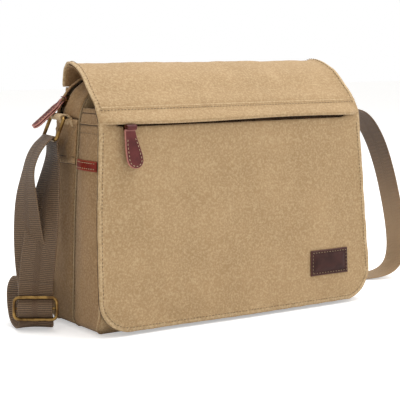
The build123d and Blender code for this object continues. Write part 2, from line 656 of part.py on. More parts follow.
def around_bar(centre, first, over, radius, wide, steps=6):
    """Stations round a bar, from the side it lies towards `first`, over the top, to the other side."""
    stations = []
    for number in range(steps + 1):
        angle = pi * number / steps
        point = centre + first * (radius * cos(angle)) + over * (radius * sin(angle))
        stations.append(((point.X, point.Y, point.Z), wide))
    return stations


left_centre, left_along, left_out, left_down = ring_frame(-1)
right_centre, right_along, right_out, right_down = ring_frame(1)
left_bar = left_centre + left_down * RING_DROP
right_bar = right_centre + right_down * RING_DROP
TURN = RING_WIRE / 2 + WEBBING_THICKNESS / 2 + 0.5
facing = (0.83, -0.558, 0)
left_wide = (-left_along.X, -left_along.Y, 0)


def beside_glide(out, rise, left=0.0, wide=facing):
    """A station by the strap slider: out towards its face, up from its middle and off to its left."""
    point = glide_centre + glide_face * out + up * rise - glide_across * left
    return ((point.X, point.Y, point.Z), wide)


left_stations = [
    beside_glide(-3.0, 0),
    beside_glide(-6.2, 9),
    beside_glide(-7.6, 19),
    ((-229.5, 21.0, 75.0), (0.7, -0.7, 0)),
    ((-231.5, 25.0, 110.0), (0.45, -0.89, 0)),
    ((-231.0, 28.0, 145.0), (0.2, -0.98, 0)),
    ((-228.0, 30.0, 172.0), left_wide),
    ((-221.0, 31.0, 191.0), left_wide),
    ((-211.5, 32.2, 203.0), left_wide),
]
left_stations += around_bar(left_bar, left_out, left_down * -1, TURN, left_wide)
left_stations += [
    ((-198.0, 29.0, 193.0), left_wide),
    ((-202.0, 25.0, 175.0), (0.05, -1.0, 0)),
    ((-210.0, 20.0, 150.0), (0.3, -0.95, 0)),
    ((-218.0, 15.5, 120.0), (0.6, -0.8, 0)),
    ((-226.0, 10.0, 85.0), (0.8, -0.6, 0)),
    ((-229.5, 10.5, 55.0), facing),
]


BEHIND = GLIDE_WIRE / 2 + WEBBING_THICKNESS / 2 + 0.7
OVER = 1.5 + WEBBING_THICKNESS / 2 + 2.4
main_stations = [
    beside_glide(-BEHIND, GLIDE_BAR + 3),
    beside_glide(-BEHIND, GLIDE_BAR - 1.5),
    beside_glide(OVER, 3),
    beside_glide(OVER, -3),
    beside_glide(-BEHIND, -GLIDE_BAR + 1.5),
    beside_glide(-BEHIND, -GLIDE_BAR - 2),
    beside_glide(-6.0, -20.0),
    beside_glide(-12.0, -22.6, 3),
    beside_glide(-22.0, -21.5, 8),
    beside_glide(-32.0, -14.0, 15),
    beside_glide(-38.0, 1.0, 18),
    beside_glide(-42.0, 16.0, 18.5),
    beside_glide(-50.0, 25.0, 15),
    beside_glide(-62.0, 22.0, 9),
    beside_glide(-78.0, 6.0, 2),
    beside_glide(-95.0, -12.0, -6, (0.75, -0.66, 0)),
    ((-150.0, 103.0, 1.8), (0.5, -0.87, 0)),
    ((-105.0, 111.0, 1.2), (0.2, -0.98, 0)),
    ((-30.0, 112.0, 1.2), (0.0, -1.0, 0)),
    ((60.0, 110.0, 1.2), (-0.08, -1.0, 0)),
    ((140.0, 100.0, 1.2), (-0.2, -0.98, 0)),
    ((200.0, 82.0, 1.2), (-0.35, -0.94, 0)),
    ((250.0, 58.0, 1.4), (-0.4, -0.92, 0)),
    ((288.0, 40.0, 3.0), (-0.3, -0.95, 0)),
    ((309.0, 33.0, 13.0), (-0.15, -0.99, 0)),
    ((317.0, 31.0, 34.0), (-0.05, -1.0, 0)),
    ((314.0, 30.0, 65.0), (0.0, -1.0, 0)),
    ((305.0, 30.0, 104.0), (0.0, -1.0, 0)),
    ((291.0, 30.0, 150.0), (0.0, -1.0, 0)),
    ((273.0, 30.0, 190.0), (0.05, -1.0, 0)),
    ((250.0, 30.0, 219.0), (0.1, -1.0, 0)),
    ((228.0, 30.5, 229.0), (0.15, -0.99, 0)),
    ((214.0, 31.0, 225.0), (0.165, -0.986, 0)),
    ((205.0, 31.2, 218.0), (0.165, -0.986, 0)),
]
right_wide = (-right_along.X, -right_along.Y, 0)
main_stations += around_bar(right_bar, right_out, right_down * -1, TURN, right_wide)[4:]
main_stations += [
    ((200.0, 30.5, 196.0), right_wide),
    ((207.0, 30.5, 188.0), right_wide),
]
strap_planes = station_planes(left_stations + main_stations)
loop_end = len(left_stations)


def ribbon_faces(planes):
    """The flat faces of the webbing that runs through the planes, ends included."""
    sections = []
    for plane in planes:
        wide = plane.x_dir * (WEBBING_WIDTH / 2)
        thick = plane.y_dir * (WEBBING_THICKNESS / 2)
        middle = plane.origin
        section = [middle - wide - thick, middle + wide - thick]
        section += [middle + wide + thick, middle - wide + thick]
        sections.append(section)
    faces = [Face(Wire.make_polygon(sections[0])), Face(Wire.make_polygon(sections[-1]))]
    for here, there in zip(sections, sections[1:]):
        for corner in range(4):
            following = (corner + 1) % 4
            # Both wide faces are cut along the same diagonal, so they stay apart where the webbing twists
            if corner == 2:
                faces.append(Face(Wire.make_polygon([here[corner], here[following], there[corner]])))
                faces.append(Face(Wire.make_polygon([here[following], there[following], there[corner]])))
            else:
                faces.append(Face(Wire.make_polygon([here[corner], here[following], there[following]])))
                faces.append(Face(Wire.make_polygon([here[corner], there[following], there[corner]])))
    return faces


with BuildPart() as strap_left_loop:
    add(Solid(Shell(ribbon_faces(strap_planes[: loop_end + 1]))))

with BuildPart() as strap_main:
    add(Solid(Shell(ribbon_faces(strap_planes[loop_end:]))))


def length_along(stations):
    """The length of the line through the stations."""
    points = [Vector(*point) for point, wide in stations]
    return sum((b - a).length for a, b in zip(points, points[1:]))


print("strap length", round(length_along(left_stations)), "+", round(length_along(main_stations)), "mm")
print("corner centre", round(CORNER_X, 2), round(ZIP_Y, 2), round(CORNER_Z, 2))
print("main bar", [round(v, 2) for v in (main_bar.X, main_bar.Y, main_bar.Z)])
print("crease", [round(v, 2) for v in (crease.X, crease.Y, crease.Z)])
flap_bar = flap_plane.origin + flap_plane.y_dir * FLAP_ZIP_T + flap_plane.z_dir * FLAP_BAR_N
print("flap bar", [round(v, 2) for v in (FLAP_SLIDER_X, flap_bar.Y, flap_bar.Z)])
print("left ring", left_centre, left_along, left_down)

pieces = {
    "back_panel": back_panel,
    "compartment_wall": compartment_wall,
    "main_gusset": main_gusset,
    "main_lining": main_lining,
    "laptop_divider": laptop_divider,
    "zip_strip_rear": zip_strip_rear,
    "zip_strip_front": zip_strip_front,
    "main_zip_tape": main_zip_tape,
    "main_zip_teeth": main_zip_teeth,
    "main_zip_slider": main_zip_slider,
    "main_zip_pull": main_zip_pull,
    "front_gusset": front_gusset,
    "front_panel": front_panel,
    "front_lining": front_lining,
    "slip_pocket": slip_pocket,
    "flap_lining": flap_lining,
    "flap_pocket_panel": flap_pocket_panel,
    "flap_zip_tape": flap_zip_tape,
    "flap_upper_panel": flap_upper_panel,
    "flap_zip_teeth": flap_zip_teeth,
    "placket": placket,
    "flap_zip_slider": flap_zip_slider,
    "flap_zip_pull": flap_zip_pull,
    "leather_patch": leather_patch,
    "flap_roll": flap_roll,
    "flap_seam_strip": flap_seam_strip,
    "glide_frame": glide_frame,
    "glide_bar": glide_bar,
    "strap_left_loop": strap_left_loop,
    "strap_main": strap_main,
}
for name, piece in pieces.items():
    piece.part.label = name
    export_step(piece.part, "parts/" + name + ".step")
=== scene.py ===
import json
from math import cos, pi, radians, sin, sqrt

import bmesh
import bpy
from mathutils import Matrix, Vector, noise


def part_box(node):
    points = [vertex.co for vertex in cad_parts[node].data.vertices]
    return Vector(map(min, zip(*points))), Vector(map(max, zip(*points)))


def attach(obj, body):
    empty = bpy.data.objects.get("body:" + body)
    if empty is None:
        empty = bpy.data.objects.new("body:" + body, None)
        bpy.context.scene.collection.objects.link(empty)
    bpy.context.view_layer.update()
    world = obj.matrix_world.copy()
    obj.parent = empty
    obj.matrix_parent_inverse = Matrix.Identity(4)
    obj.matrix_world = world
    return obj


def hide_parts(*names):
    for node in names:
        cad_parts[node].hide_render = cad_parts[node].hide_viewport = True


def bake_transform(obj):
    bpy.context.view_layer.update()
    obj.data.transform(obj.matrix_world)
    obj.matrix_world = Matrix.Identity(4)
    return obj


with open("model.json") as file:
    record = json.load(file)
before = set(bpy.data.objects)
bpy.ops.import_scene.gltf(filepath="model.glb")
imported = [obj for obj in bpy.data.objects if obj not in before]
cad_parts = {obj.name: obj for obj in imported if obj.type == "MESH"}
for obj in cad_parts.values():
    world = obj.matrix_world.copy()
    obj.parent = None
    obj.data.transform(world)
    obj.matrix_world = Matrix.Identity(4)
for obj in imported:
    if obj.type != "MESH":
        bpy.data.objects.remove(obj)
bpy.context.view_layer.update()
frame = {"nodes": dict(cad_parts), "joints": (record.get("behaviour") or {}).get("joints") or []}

bl_info = {
    "name": "Messenger bag",
    "version": (1, 0, 0),
    "blender": (4, 5, 0),
    "location": "View3D > Sidebar > Bag",
    "description": "Dresses the messenger bag's frame in canvas, leather, webbing and brass",
    "category": "Object",
}

# All sizes are metres. X runs along the bag, -Y is the flap side, and the floor is Z = 0.
TOP_RADIUS = 0.044
FOOT_RADIUS = 0.014
TOP_TAPER = 0.009
FRONT_FOOT = -0.057
FRONT_SLOPE = 0.020 / 0.247
CANVAS = 0.0025
FLAP_CORNER = 0.038
HEM = 0.0065
CLOTH_FACE = 0.0031  # the flap's outer cloth over its CAD plane
STITCH_PITCH = 1.38  # from stitch to stitch, in stitch lengths
STITCH_HALF_WIDTH = 0.00042
RIB_PITCH = 0.0021
THREAD_PITCH = 0.0011
TWILL_PITCH = 0.0012
FOLD_GAP = 0.0036  # the roll's lining under its outer face
HINGES = {joint["name"]: joint for joint in frame["joints"]}
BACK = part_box("back_panel")
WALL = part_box("compartment_wall")
BODY_HALF = (BACK[1][0] - BACK[0][0]) / 2
BODY_TOP = BACK[1][2]
BACK_Y = BACK[1][1]
WALL_Y = WALL[0][1]
GUSSET_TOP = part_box("main_gusset")[1][2]
FRONT_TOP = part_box("front_panel")[1][2]
ZIP_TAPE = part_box("main_zip_tape")
ZIP_Y = (ZIP_TAPE[0][1] + ZIP_TAPE[1][1]) / 2


# ---------------------------------------------------------------- settings


class BagCloth(bpy.types.PropertyGroup):
    """How full and how creased the bag's cloth is."""

    bulge: bpy.props.FloatProperty(
        name="Side bulge", description="How far the sides swell", default=0.0028,
        unit="LENGTH", subtype="DISTANCE",
    )
    creases: bpy.props.FloatProperty(
        name="Creases", description="Height of the cloth's creases", default=0.0011,
        unit="LENGTH", subtype="DISTANCE",
    )
    pillow: bpy.props.FloatProperty(
        name="Flap pillow", description="How far the flap's middle swells", default=0.0022, unit="LENGTH",
        subtype="DISTANCE"
    )
    stitch: bpy.props.FloatProperty(
        name="Stitch length", description="Length of one stitch", default=0.0030,
        unit="LENGTH", subtype="DISTANCE",
    )


class BagLight(bpy.types.PropertyGroup):
    """Strength of the studio's lamps."""

    key: bpy.props.FloatProperty(name="Key", description="Power of the large lamp", default=14.4,
                                 unit="POWER")
    fill: bpy.props.FloatProperty(name="Fill", description="Power of the left lamp", default=2.2,
                                  unit="POWER")
    sky: bpy.props.FloatProperty(name="Sky", description="Strength of the even light", default=0.62)


def cloth():
    """The cloth settings of this scene."""
    return bpy.context.scene.bag_cloth


# ---------------------------------------------------------------- materials


def linear(code):
    """A linear colour from an sRGB hex code."""
    parts = [int(code[i : i + 2], 16) / 255 for i in (1, 3, 5)]
    return [p / 12.92 if p <= 0.04045 else ((p + 0.055) / 1.055) ** 2.4 for p in parts] + [1.0]


def new_material(name):
    """An empty material with a shader joined to its output."""
    material = bpy.data.materials.new(name)
    material.use_nodes = True
    tree = material.node_tree
    tree.nodes.clear()
    out = tree.nodes.new("ShaderNodeOutputMaterial")
    shader = tree.nodes.new("ShaderNodeBsdfPrincipled")
    tree.links.new(shader.outputs["BSDF"], out.inputs["Surface"])
    return material, tree, shader


def add(tree, kind, settings=(), **inputs):
    """A node with its settings; an input is a value or another node's output."""
    node = tree.nodes.new(kind)
    for name, value in dict(settings).items():
        setattr(node, name, value)
    for name, value in inputs.items():
        socket = node.inputs[int(name[1:])] if name[0] == "_" else node.inputs[name.replace("_", " ")]
        if isinstance(value, bpy.types.NodeSocket):
            tree.links.new(value, socket)
        else:
            socket.default_value = value
    return node


def math(tree, operation, first, second=0.0):
    """The output of one sum."""
    return add(tree, "ShaderNodeMath", {"operation": operation}, _0=first, _1=second).outputs[0]


def blend_colour(tree, factor, first, second):
    """The output of a colour mix."""
    return add(tree, "ShaderNodeMix", {"data_type": "RGBA"}, _0=factor, _6=first, _7=second).outputs[2]


def clouds_of(tree, place, scale, **more):
    """The output of soft noise."""
    return add(tree, "ShaderNodeTexNoise", Vector=place, Scale=scale, **more).outputs[0]


def ramp(tree, value, low, high):
    """Value spread from low..high to 0..1."""
    node = add(tree, "ShaderNodeMapRange", {"interpolation_type": "SMOOTHSTEP"}, Value=value)
    node.inputs["From Min"].default_value = low
    node.inputs["From Max"].default_value = high
    return node.outputs[0]


def canvas_material(name, middle, dark, pale, rough=0.86):
    """Waxed cotton canvas: plain weave, mottled dye, rubbed pale at its folded edges."""
    material, tree, shader = new_material(name)
    place = add(tree, "ShaderNodeTexCoord").outputs["Object"]
    clouds = clouds_of(tree, place, 16.0, Detail=4.0, Roughness=0.6)
    specks = clouds_of(tree, place, 420.0, Detail=3.0, Roughness=0.7)
    thread_map = add(tree, "ShaderNodeMapping", Vector=add(tree, "ShaderNodeUVMap").outputs[0],
                     Scale=(90, 1400, 1))
    slubs = clouds_of(tree, thread_map.outputs[0], 1.0, Detail=2.0)
    cross_map = add(tree, "ShaderNodeMapping", Vector=add(tree, "ShaderNodeUVMap").outputs[0],
                    Scale=(1400, 90, 1))
    cross = clouds_of(tree, cross_map.outputs[0], 1.0, Detail=2.0)
    wear = add(tree, "ShaderNodeAttribute", {"attribute_name": "wear"}).outputs["Fac"]
    body = blend_colour(tree, ramp(tree, clouds, 0.3, 0.7), linear(dark), linear(middle))
    body = blend_colour(tree, math(tree, "MULTIPLY", ramp(tree, specks, 0.40, 0.68), 0.5), body,
                        linear(pale))
    folds = add(tree, "ShaderNodeTexNoise", Vector=place, Scale=11.0, Detail=5.0, Roughness=0.62,
                Distortion=0.8)
    ridge = math(tree, "ABSOLUTE", math(tree, "SUBTRACT", folds.outputs[0], 0.5))
    streaks = math(tree, "MULTIPLY", ramp(tree, ridge, 0.012, 0.0), ramp(tree, clouds, 0.48, 0.62))
    body = blend_colour(tree, math(tree, "MULTIPLY", streaks, 0.2), body, linear(pale))
    rubbed = math(tree, "MULTIPLY", wear, ramp(tree, specks, 0.25, 0.7))
    body = blend_colour(tree, rubbed, body, linear(pale))
    threads = math(tree, "ADD", slubs, cross)
    body = blend_colour(tree, math(tree, "MULTIPLY", ramp(tree, threads, 1.15, 0.7), 0.28), body,
                        linear(dark))
    tree.links.new(body, shader.inputs["Base Color"])
    height = math(tree, "ADD", threads, math(tree, "MULTIPLY", specks, 0.6))
    bump = add(tree, "ShaderNodeBump", Strength=0.55, Distance=0.0006, Height=height)
    tree.links.new(bump.outputs[0], shader.inputs["Normal"])
    shader.inputs["Roughness"].default_value = rough
    shader.inputs["Sheen Weight"].default_value = 0.12
    shader.inputs["Specular IOR Level"].default_value = 0.25
    return material


def webbing_material():
    """Brown polyester webbing: cross ribs, a herringbone line down the middle and pale selvedges."""
    material, tree, shader = new_material("Webbing, brown polyester")
    uv = add(tree, "ShaderNodeUVMap").outputs[0]
    split = add(tree, "ShaderNodeSeparateXYZ", Vector=uv)
    across, along = split.outputs[0], split.outputs[1]
    off = math(tree, "ABSOLUTE", math(tree, "SUBTRACT", across, 0.019))
    middle = ramp(tree, off, 0.0036, 0.0028)
    slant = math(tree, "MULTIPLY", off, middle)
    phase = math(tree, "ADD", along, slant)
    ribs = math(tree, "SINE", math(tree, "MULTIPLY", phase, 2 * pi / RIB_PITCH))
    threads = math(tree, "SINE", math(tree, "MULTIPLY", across, 2 * pi / THREAD_PITCH))
    specks = clouds_of(tree, uv, 700.0, Detail=3.0)
    light = math(tree, "ADD", math(tree, "MULTIPLY", ribs, 0.32), math(tree, "MULTIPLY", specks, 0.8))
    tone = blend_colour(tree, ramp(tree, light, 0.0, 0.95), linear("#443122"), linear("#876a4a"))
    tone = blend_colour(tree, math(tree, "MULTIPLY", middle, 0.55), tone, linear("#5d452e"))
    selvedge = ramp(tree, off, 0.0172, 0.0182)
    tone = blend_colour(tree, math(tree, "MULTIPLY", selvedge, 0.25), tone, linear("#8f7458"))
    # Painted light: the run at the strap's right end, low down, is mixed paler, standing for the light that
    # falls on it from the right
    spot = add(tree, "ShaderNodeSeparateXYZ", Vector=add(tree, "ShaderNodeTexCoord").outputs["Object"])
    painted_light = math(tree, "MULTIPLY", ramp(tree, spot.outputs[0], 0.20, 0.29),
                 ramp(tree, spot.outputs[2], 0.2, 0.05))
    tone = blend_colour(tree, math(tree, "MULTIPLY", painted_light, 0.75), tone, linear("#c2a27a"))
    tree.links.new(tone, shader.inputs["Base Color"])
    height = math(tree, "ADD", ribs, math(tree, "MULTIPLY", threads, 0.35))
    bump = add(tree, "ShaderNodeBump", Strength=0.6, Distance=0.0005, Height=height)
    tree.links.new(bump.outputs[0], shader.inputs["Normal"])
    shader.inputs["Roughness"].default_value = 0.5
    shader.inputs["Sheen Weight"].default_value = 0.04
    return material


def leather_material(name, tone, deep, edge, rough=0.42):
    """Pigmented cow leather with a fine grain; its cut edges are painted."""
    material, tree, shader = new_material(name)
    place = add(tree, "ShaderNodeTexCoord").outputs["Object"]
    grain = add(tree, "ShaderNodeTexVoronoi", Vector=place, Scale=1100.0).outputs["Distance"]
    clouds = clouds_of(tree, place, 90.0, Detail=4.0)
    wear = add(tree, "ShaderNodeAttribute", {"attribute_name": "wear"}).outputs["Fac"]
    body = blend_colour(tree, ramp(tree, clouds, 0.3, 0.7), linear(deep), linear(tone))
    body = blend_colour(tree, wear, body, linear(edge))
    tree.links.new(body, shader.inputs["Base Color"])
    bump = add(tree, "ShaderNodeBump", Strength=0.4, Distance=0.0003,
               Height=math(tree, "ADD", grain, clouds))
    tree.links.new(bump.outputs[0], shader.inputs["Normal"])
    shader.inputs["Roughness"].default_value = rough
    shader.inputs["Specular IOR Level"].default_value = 0.25
    return material


def metal_material(name, tone, deep, rough):
    """Cast zinc alloy or brass wire with an aged finish, darker in patches."""
    material, tree, shader = new_material(name)
    place = add(tree, "ShaderNodeTexCoord").outputs["Object"]
    patches = clouds_of(tree, place, 120.0, Detail=3.0)
    tree.links.new(blend_colour(tree, ramp(tree, patches, 0.35, 0.65), linear(deep), linear(tone)),
                   shader.inputs["Base Color"])
    shader.inputs["Metallic"].default_value = 1.0
    tree.links.new(math(tree, "ADD", math(tree, "MULTIPLY", patches, 0.2), rough - 0.1),
                   shader.inputs["Roughness"])
    return material


def thread_material(name, tone):
    """Bonded polyester sewing thread."""
    material, tree, shader = new_material(name)
    place = add(tree, "ShaderNodeTexCoord").outputs["Object"]
    specks = clouds_of(tree, place, 900.0)
    tree.links.new(blend_colour(tree, specks, linear(tone), linear("#b89d76")), shader.inputs["Base Color"])
    shader.inputs["Roughness"].default_value = 0.6
    return material


def lining_material():
    """Dark brown twill lining."""
    material, tree, shader = new_material("Lining, brown polyester twill")
    uv = add(tree, "ShaderNodeUVMap").outputs[0]
    split = add(tree, "ShaderNodeSeparateXYZ", Vector=uv)
    slant = math(tree, "ADD", split.outputs[0], split.outputs[1])
    twill = math(tree, "SINE", math(tree, "MULTIPLY", slant, 2 * pi / TWILL_PITCH))
    clouds = clouds_of(tree, uv, 30.0, Detail=3.0)
    tree.links.new(blend_colour(tree, clouds, linear("#3c2c1f"), linear("#5a4431")),
                   shader.inputs["Base Color"])
    bump = add(tree, "ShaderNodeBump", Strength=0.4, Distance=0.0003, Height=twill)
    tree.links.new(bump.outputs[0], shader.inputs["Normal"])
    shader.inputs["Roughness"].default_value = 0.7
    return material


MATERIALS = {}


def finish_of(key):
    """The material for a key, made once."""
    if key not in MATERIALS:
        MATERIALS[key] = {
            "canvas": lambda: canvas_material("Canvas, waxed khaki cotton", "#b1926a", "#a78962",
                                              "#d6bd96"),
            # The side key is the same canvas painted darker. This is painted shade, used on the gussets, side
            # trim, zip strips, front piping and under the roll.
            "side": lambda: canvas_material("Canvas, waxed khaki cotton, painted shade", "#987852", "#8b6c49",
                                            "#bf9f77"),
            "lining": lining_material,
            "webbing": webbing_material,
            "burgundy": lambda: leather_material("Leather, burgundy zip pull", "#6c3331", "#552626",
                                                 "#c98b80"),
            "tab": lambda: leather_material("Leather, red-brown tab", "#84240f", "#6a180a", "#8f3d26",
                                            0.45),
            "patch": lambda: leather_material("Leather, dark brown patch", "#43241f", "#341a16", "#65423a",
                                              0.5),
            "brass": lambda: metal_material("Antique brass", "#a9874f", "#6b5030", 0.38),
            "teeth": lambda: metal_material("Dark brass zip teeth", "#5d4630", "#33261a", 0.5),
            "steel": lambda: metal_material("Nickelled steel snap", "#b9b4aa", "#8f8a80", 0.35),
            "tape": lambda: canvas_material("Zip tape, dark brown polyester", "#4a3524", "#3a291b",
                                            "#5d4630", 0.8),
            "dark_thread": lambda: thread_material("Thread, brown bonded polyester", "#4f3c25"),
            "thread": lambda: thread_material("Thread, tan bonded polyester", "#86683f"),
            "pale_thread": lambda: thread_material("Thread, cream bonded polyester", "#c8b394"),
        }[key]()
    return MATERIALS[key]


# ---------------------------------------------------------------- mesh builders


def new_object(name, key, points, faces, uvs=None, wear=None, body="bag"):
    """A mesh object in the frame, its normals turned outward, riding on a body if one is named."""
    name = name.lower().replace(",", "").replace(" ", "_")
    mesh = bpy.data.meshes.new(name)
    mesh.from_pydata([tuple(p) for p in points], [], faces)
    if uvs:
        layer = mesh.uv_layers.new(name="UVMap")
        for loop in mesh.loops:
            layer.data[loop.index].uv = uvs[loop.vertex_index]
    if wear is not None:
        attribute = mesh.attributes.new("wear", "FLOAT", "POINT")
        attribute.data.foreach_set("value", wear)
    work = bmesh.new()
    work.from_mesh(mesh)
    bmesh.ops.recalc_face_normals(work, faces=work.faces)
    work.to_mesh(mesh)
    work.free()
    mesh.polygons.foreach_set("use_smooth", [True] * len(mesh.polygons))
    mesh.materials.append(finish_of(key))
    thing = bpy.data.objects.new(name, mesh)
    bpy.context.scene.collection.objects.link(thing)
    if body:
        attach(thing, body)
    return thing


def sheet(name, key, grid, thickness, body="bag", wear=None):
    """Cloth of a thickness whose outer face is the grid of points."""
    rows, columns = len(grid), len(grid[0])
    normals = []
    for i in range(rows):
        line = []
        for j in range(columns):
            up = grid[min(i + 1, rows - 1)][j] - grid[max(i - 1, 0)][j]
            side = grid[i][min(j + 1, columns - 1)] - grid[i][max(j - 1, 0)]
            line.append(side.cross(up).normalized())
        normals.append(line)
    points, uvs, worn = [], [], []
    for layer in (0, 1):
        for i in range(rows):
            along = 0.0
            for j in range(columns):
                points.append(grid[i][j] - normals[i][j] * (thickness * layer))
                if j:
                    along += (grid[rows // 2][j] - grid[rows // 2][j - 1]).length
                uvs.append((along, 0.0))
                worn.append(wear[i][j] if wear else 0.0)
    heights = [0.0]
    for i in range(1, rows):
        heights.append(heights[-1] + (grid[i][columns // 2] - grid[i - 1][columns // 2]).length)
    uvs = [(uv[0], heights[(n // columns) % rows]) for n, uv in enumerate(uvs)]
    faces = []
    under = rows * columns
    for i in range(rows - 1):
        for j in range(columns - 1):
            a, b = i * columns + j, i * columns + j + 1
            c, d = b + columns, a + columns
            faces.append((a, b, c, d))
            faces.append((under + d, under + c, under + b, under + a))
    rims = []
    for edge, inner in ((0, 1), (rows - 1, rows - 2)):
        rims.append(([(edge, j) for j in range(columns)], [(inner, j) for j in range(columns)]))
    for edge, inner in ((0, 1), (columns - 1, columns - 2)):
        rims.append(([(i, edge) for i in range(rows)], [(i, inner) for i in range(rows)]))
    middles = {}
    for edge, inner in rims:
        for (i, j), (p, q) in zip(edge, inner):
            out = (grid[i][j] - grid[p][q]).normalized() * (thickness * 0.45)
            if (i, j) in middles:
                points[middles[(i, j)]] += out * 0.5
            else:
                middles[(i, j)] = len(points)
                points.append(grid[i][j] - normals[i][j] * (thickness / 2) + out)
                uvs.append(uvs[i * columns + j])
                worn.append(worn[i * columns + j] * 0.5)
    for edge, _ in rims:
        for a, b in zip(edge, edge[1:]):
            ia, ib = a[0] * columns + a[1], b[0] * columns + b[1]
            faces.append((ia, ib, middles[b], middles[a]))
            faces.append((middles[a], middles[b], under + ib, under + ia))
    return new_object(name, key, points, faces, uvs, worn, body)


def tube(name, key, line, radius, body="bag", sides=6, closed=False):
    """A round cord of cloth or thread along a line of points."""
    points, faces = [], []
    count = len(line)
    before = Vector((0, 0, 1))
    for n, point in enumerate(line):
        after = line[(n + 1) % count if closed else min(n + 1, count - 1)]
        way = after - line[n - 1 if closed else max(n - 1, 0)]
        way.normalize()
        side = way.cross(before)
        if side.length < 0.1:
            side = way.cross(Vector((1, 0, 0)))
        side.normalize()
        before = side.cross(way)
        for k in range(sides):
            turn = 2 * pi * k / sides
            points.append(point + side * (radius * cos(turn)) + before * (radius * sin(turn)))
    for n in range(count if closed else count - 1):
        m = (n + 1) % count
        for k in range(sides):
            j = (k + 1) % sides
            faces.append((n * sides + k, n * sides + j, m * sides + j, m * sides + k))
    if not closed:
        faces.append(tuple(range(sides)))
        faces.append(tuple((count - 1) * sides + k for k in reversed(range(sides))))
    uvs = [((n % sides) * radius, (n // sides) * 0.003) for n in range(len(points))]
    return new_object(name, key, points, faces, uvs, [0.6] * len(points), body)


def walk(line, pitch):
    """Points and ways every pitch along a line."""
    found, left = [], pitch / 2
    for a, b in zip(line, line[1:]):
        step = (b - a).length
        while step > 1e-9 and left <= step:
            found.append((a.lerp(b, left / step), (b - a).normalized()))
            left += pitch
        left -= step
    return found


def stitches(name, lines, key="thread", body="bag", height=0.00045):
    """Rows of stitches: each line is (points, outward direction or a function that gives it)."""
    length = cloth().stitch
    points, faces = [], []
    for line, out in lines:
        for spot, way in walk(line, length * STITCH_PITCH):
            up = out(spot) if callable(out) else out
            side = way.cross(up).normalized() * STITCH_HALF_WIDTH
            half = way * (length / 2)
            base = len(points)
            points += [spot - half - up * 0.0004, spot + half - up * 0.0004]
            for along in (-0.5, 0.5):
                middle = spot + half * along
                points += [middle + side, middle + up * height, middle - side]
            low, high = base + 2, base + 5
            faces += [(base, low, low + 1), (base, low + 1, low + 2), (base, low + 2, low)]
            faces += [(low, high, high + 1, low + 1), (low + 1, high + 1, high + 2, low + 2)]
            faces += [(low + 2, high + 2, high, low)]
            faces += [(base + 1, high + 1, high), (base + 1, high + 2, high + 1),
                      (base + 1, high, high + 2)]
    return new_object(name, key, points, faces, [(p.x, p.z) for p in points], None, body)


def smooth_step(low, high, value):
    """0 below low, 1 above high, eased between; low may be the larger."""
    share = max(0.0, min(1.0, (value - low) / (high - low)))
    return share * share * (3 - 2 * share)


def rumple(x, y, z, size, seed=0.0):
    """Soft noise from -1 to 1 with features of a size."""
    return noise.fractal(Vector((x / size + seed, y / size - seed, z / size)), 0.6, 2.1, 3)


def crease_lines(x, z, size, seed):
    """Narrow ridges that wander, like creases rubbed into cloth."""
    value = noise.noise(Vector((x / size + seed, seed * 0.7, z / size)))
    return 1 - min(1.0, abs(value) * 7)


# ---------------------------------------------------------------- the bag's outline


def body_half(z):
    """Half the body's width at a height, before its corners are rounded."""
    return BODY_HALF - TOP_TAPER * z / BODY_TOP


def round_half(z):
    """Half the body's width at a height, with its corners rounded."""
    half = body_half(z)
    if z > BODY_TOP - TOP_RADIUS:
        rise = min(z - (BODY_TOP - TOP_RADIUS), TOP_RADIUS)
        half -= TOP_RADIUS - sqrt(max(TOP_RADIUS**2 - rise**2, 0))
    if z < FOOT_RADIUS:
        drop = min(FOOT_RADIUS - z, FOOT_RADIUS)
        half -= FOOT_RADIUS - sqrt(max(FOOT_RADIUS**2 - drop**2, 0))
    return half


def outline(step=0.004):
    """The body's outline from the front, anticlockwise from the foot's middle: (x, z, normal x, normal z)."""
    corners = [(BODY_HALF, 0, FOOT_RADIUS), (body_half(BODY_TOP), BODY_TOP, TOP_RADIUS)]
    corners += [(-body_half(BODY_TOP), BODY_TOP, TOP_RADIUS), (-BODY_HALF, 0, FOOT_RADIUS)]
    marks = []
    for n, (x, z, radius) in enumerate(corners):
        here = Vector((x, z))
        back = (Vector(corners[n - 1][:2]) - here).normalized()
        ahead = (Vector(corners[(n + 1) % 4][:2]) - here).normalized()
        half_angle = back.angle(ahead) / 2
        centre = here + (back + ahead).normalized() * (radius / sin(half_angle))
        reach = radius * cos(half_angle) / sin(half_angle)
        start, end = (here + back * reach - centre), (here + ahead * reach - centre)
        for k in range(9):
            way = start.lerp(end, k / 8).normalized()
            marks.append((centre + way * radius, way))
    path = []
    for (a, na), (b, nb) in zip([marks[-1]] + marks[:-1], marks):
        count = max(1, round((b - a).length / step))
        for k in range(count):
            share = k / count
            point, normal = a.lerp(b, share), na.lerp(nb, share).normalized()
            path.append((point.x, point.y, normal.x, normal.y))
    turn = min(range(len(path)), key=lambda n: abs(path[n][0]) + path[n][1])
    return path[turn:] + path[:turn]


def lean_back(height):
    """How far the top of the front compartment, and the flap on it, leans back."""
    return 0.0085 * smooth_step(0.226, 0.250, height)


def front_y(z):
    """Depth of the front panel's face at a height; its foot is rounded."""
    return FRONT_FOOT + FRONT_SLOPE * z + 0.024 * smooth_step(0.034, -0.010, z) ** 2 + lean_back(z)


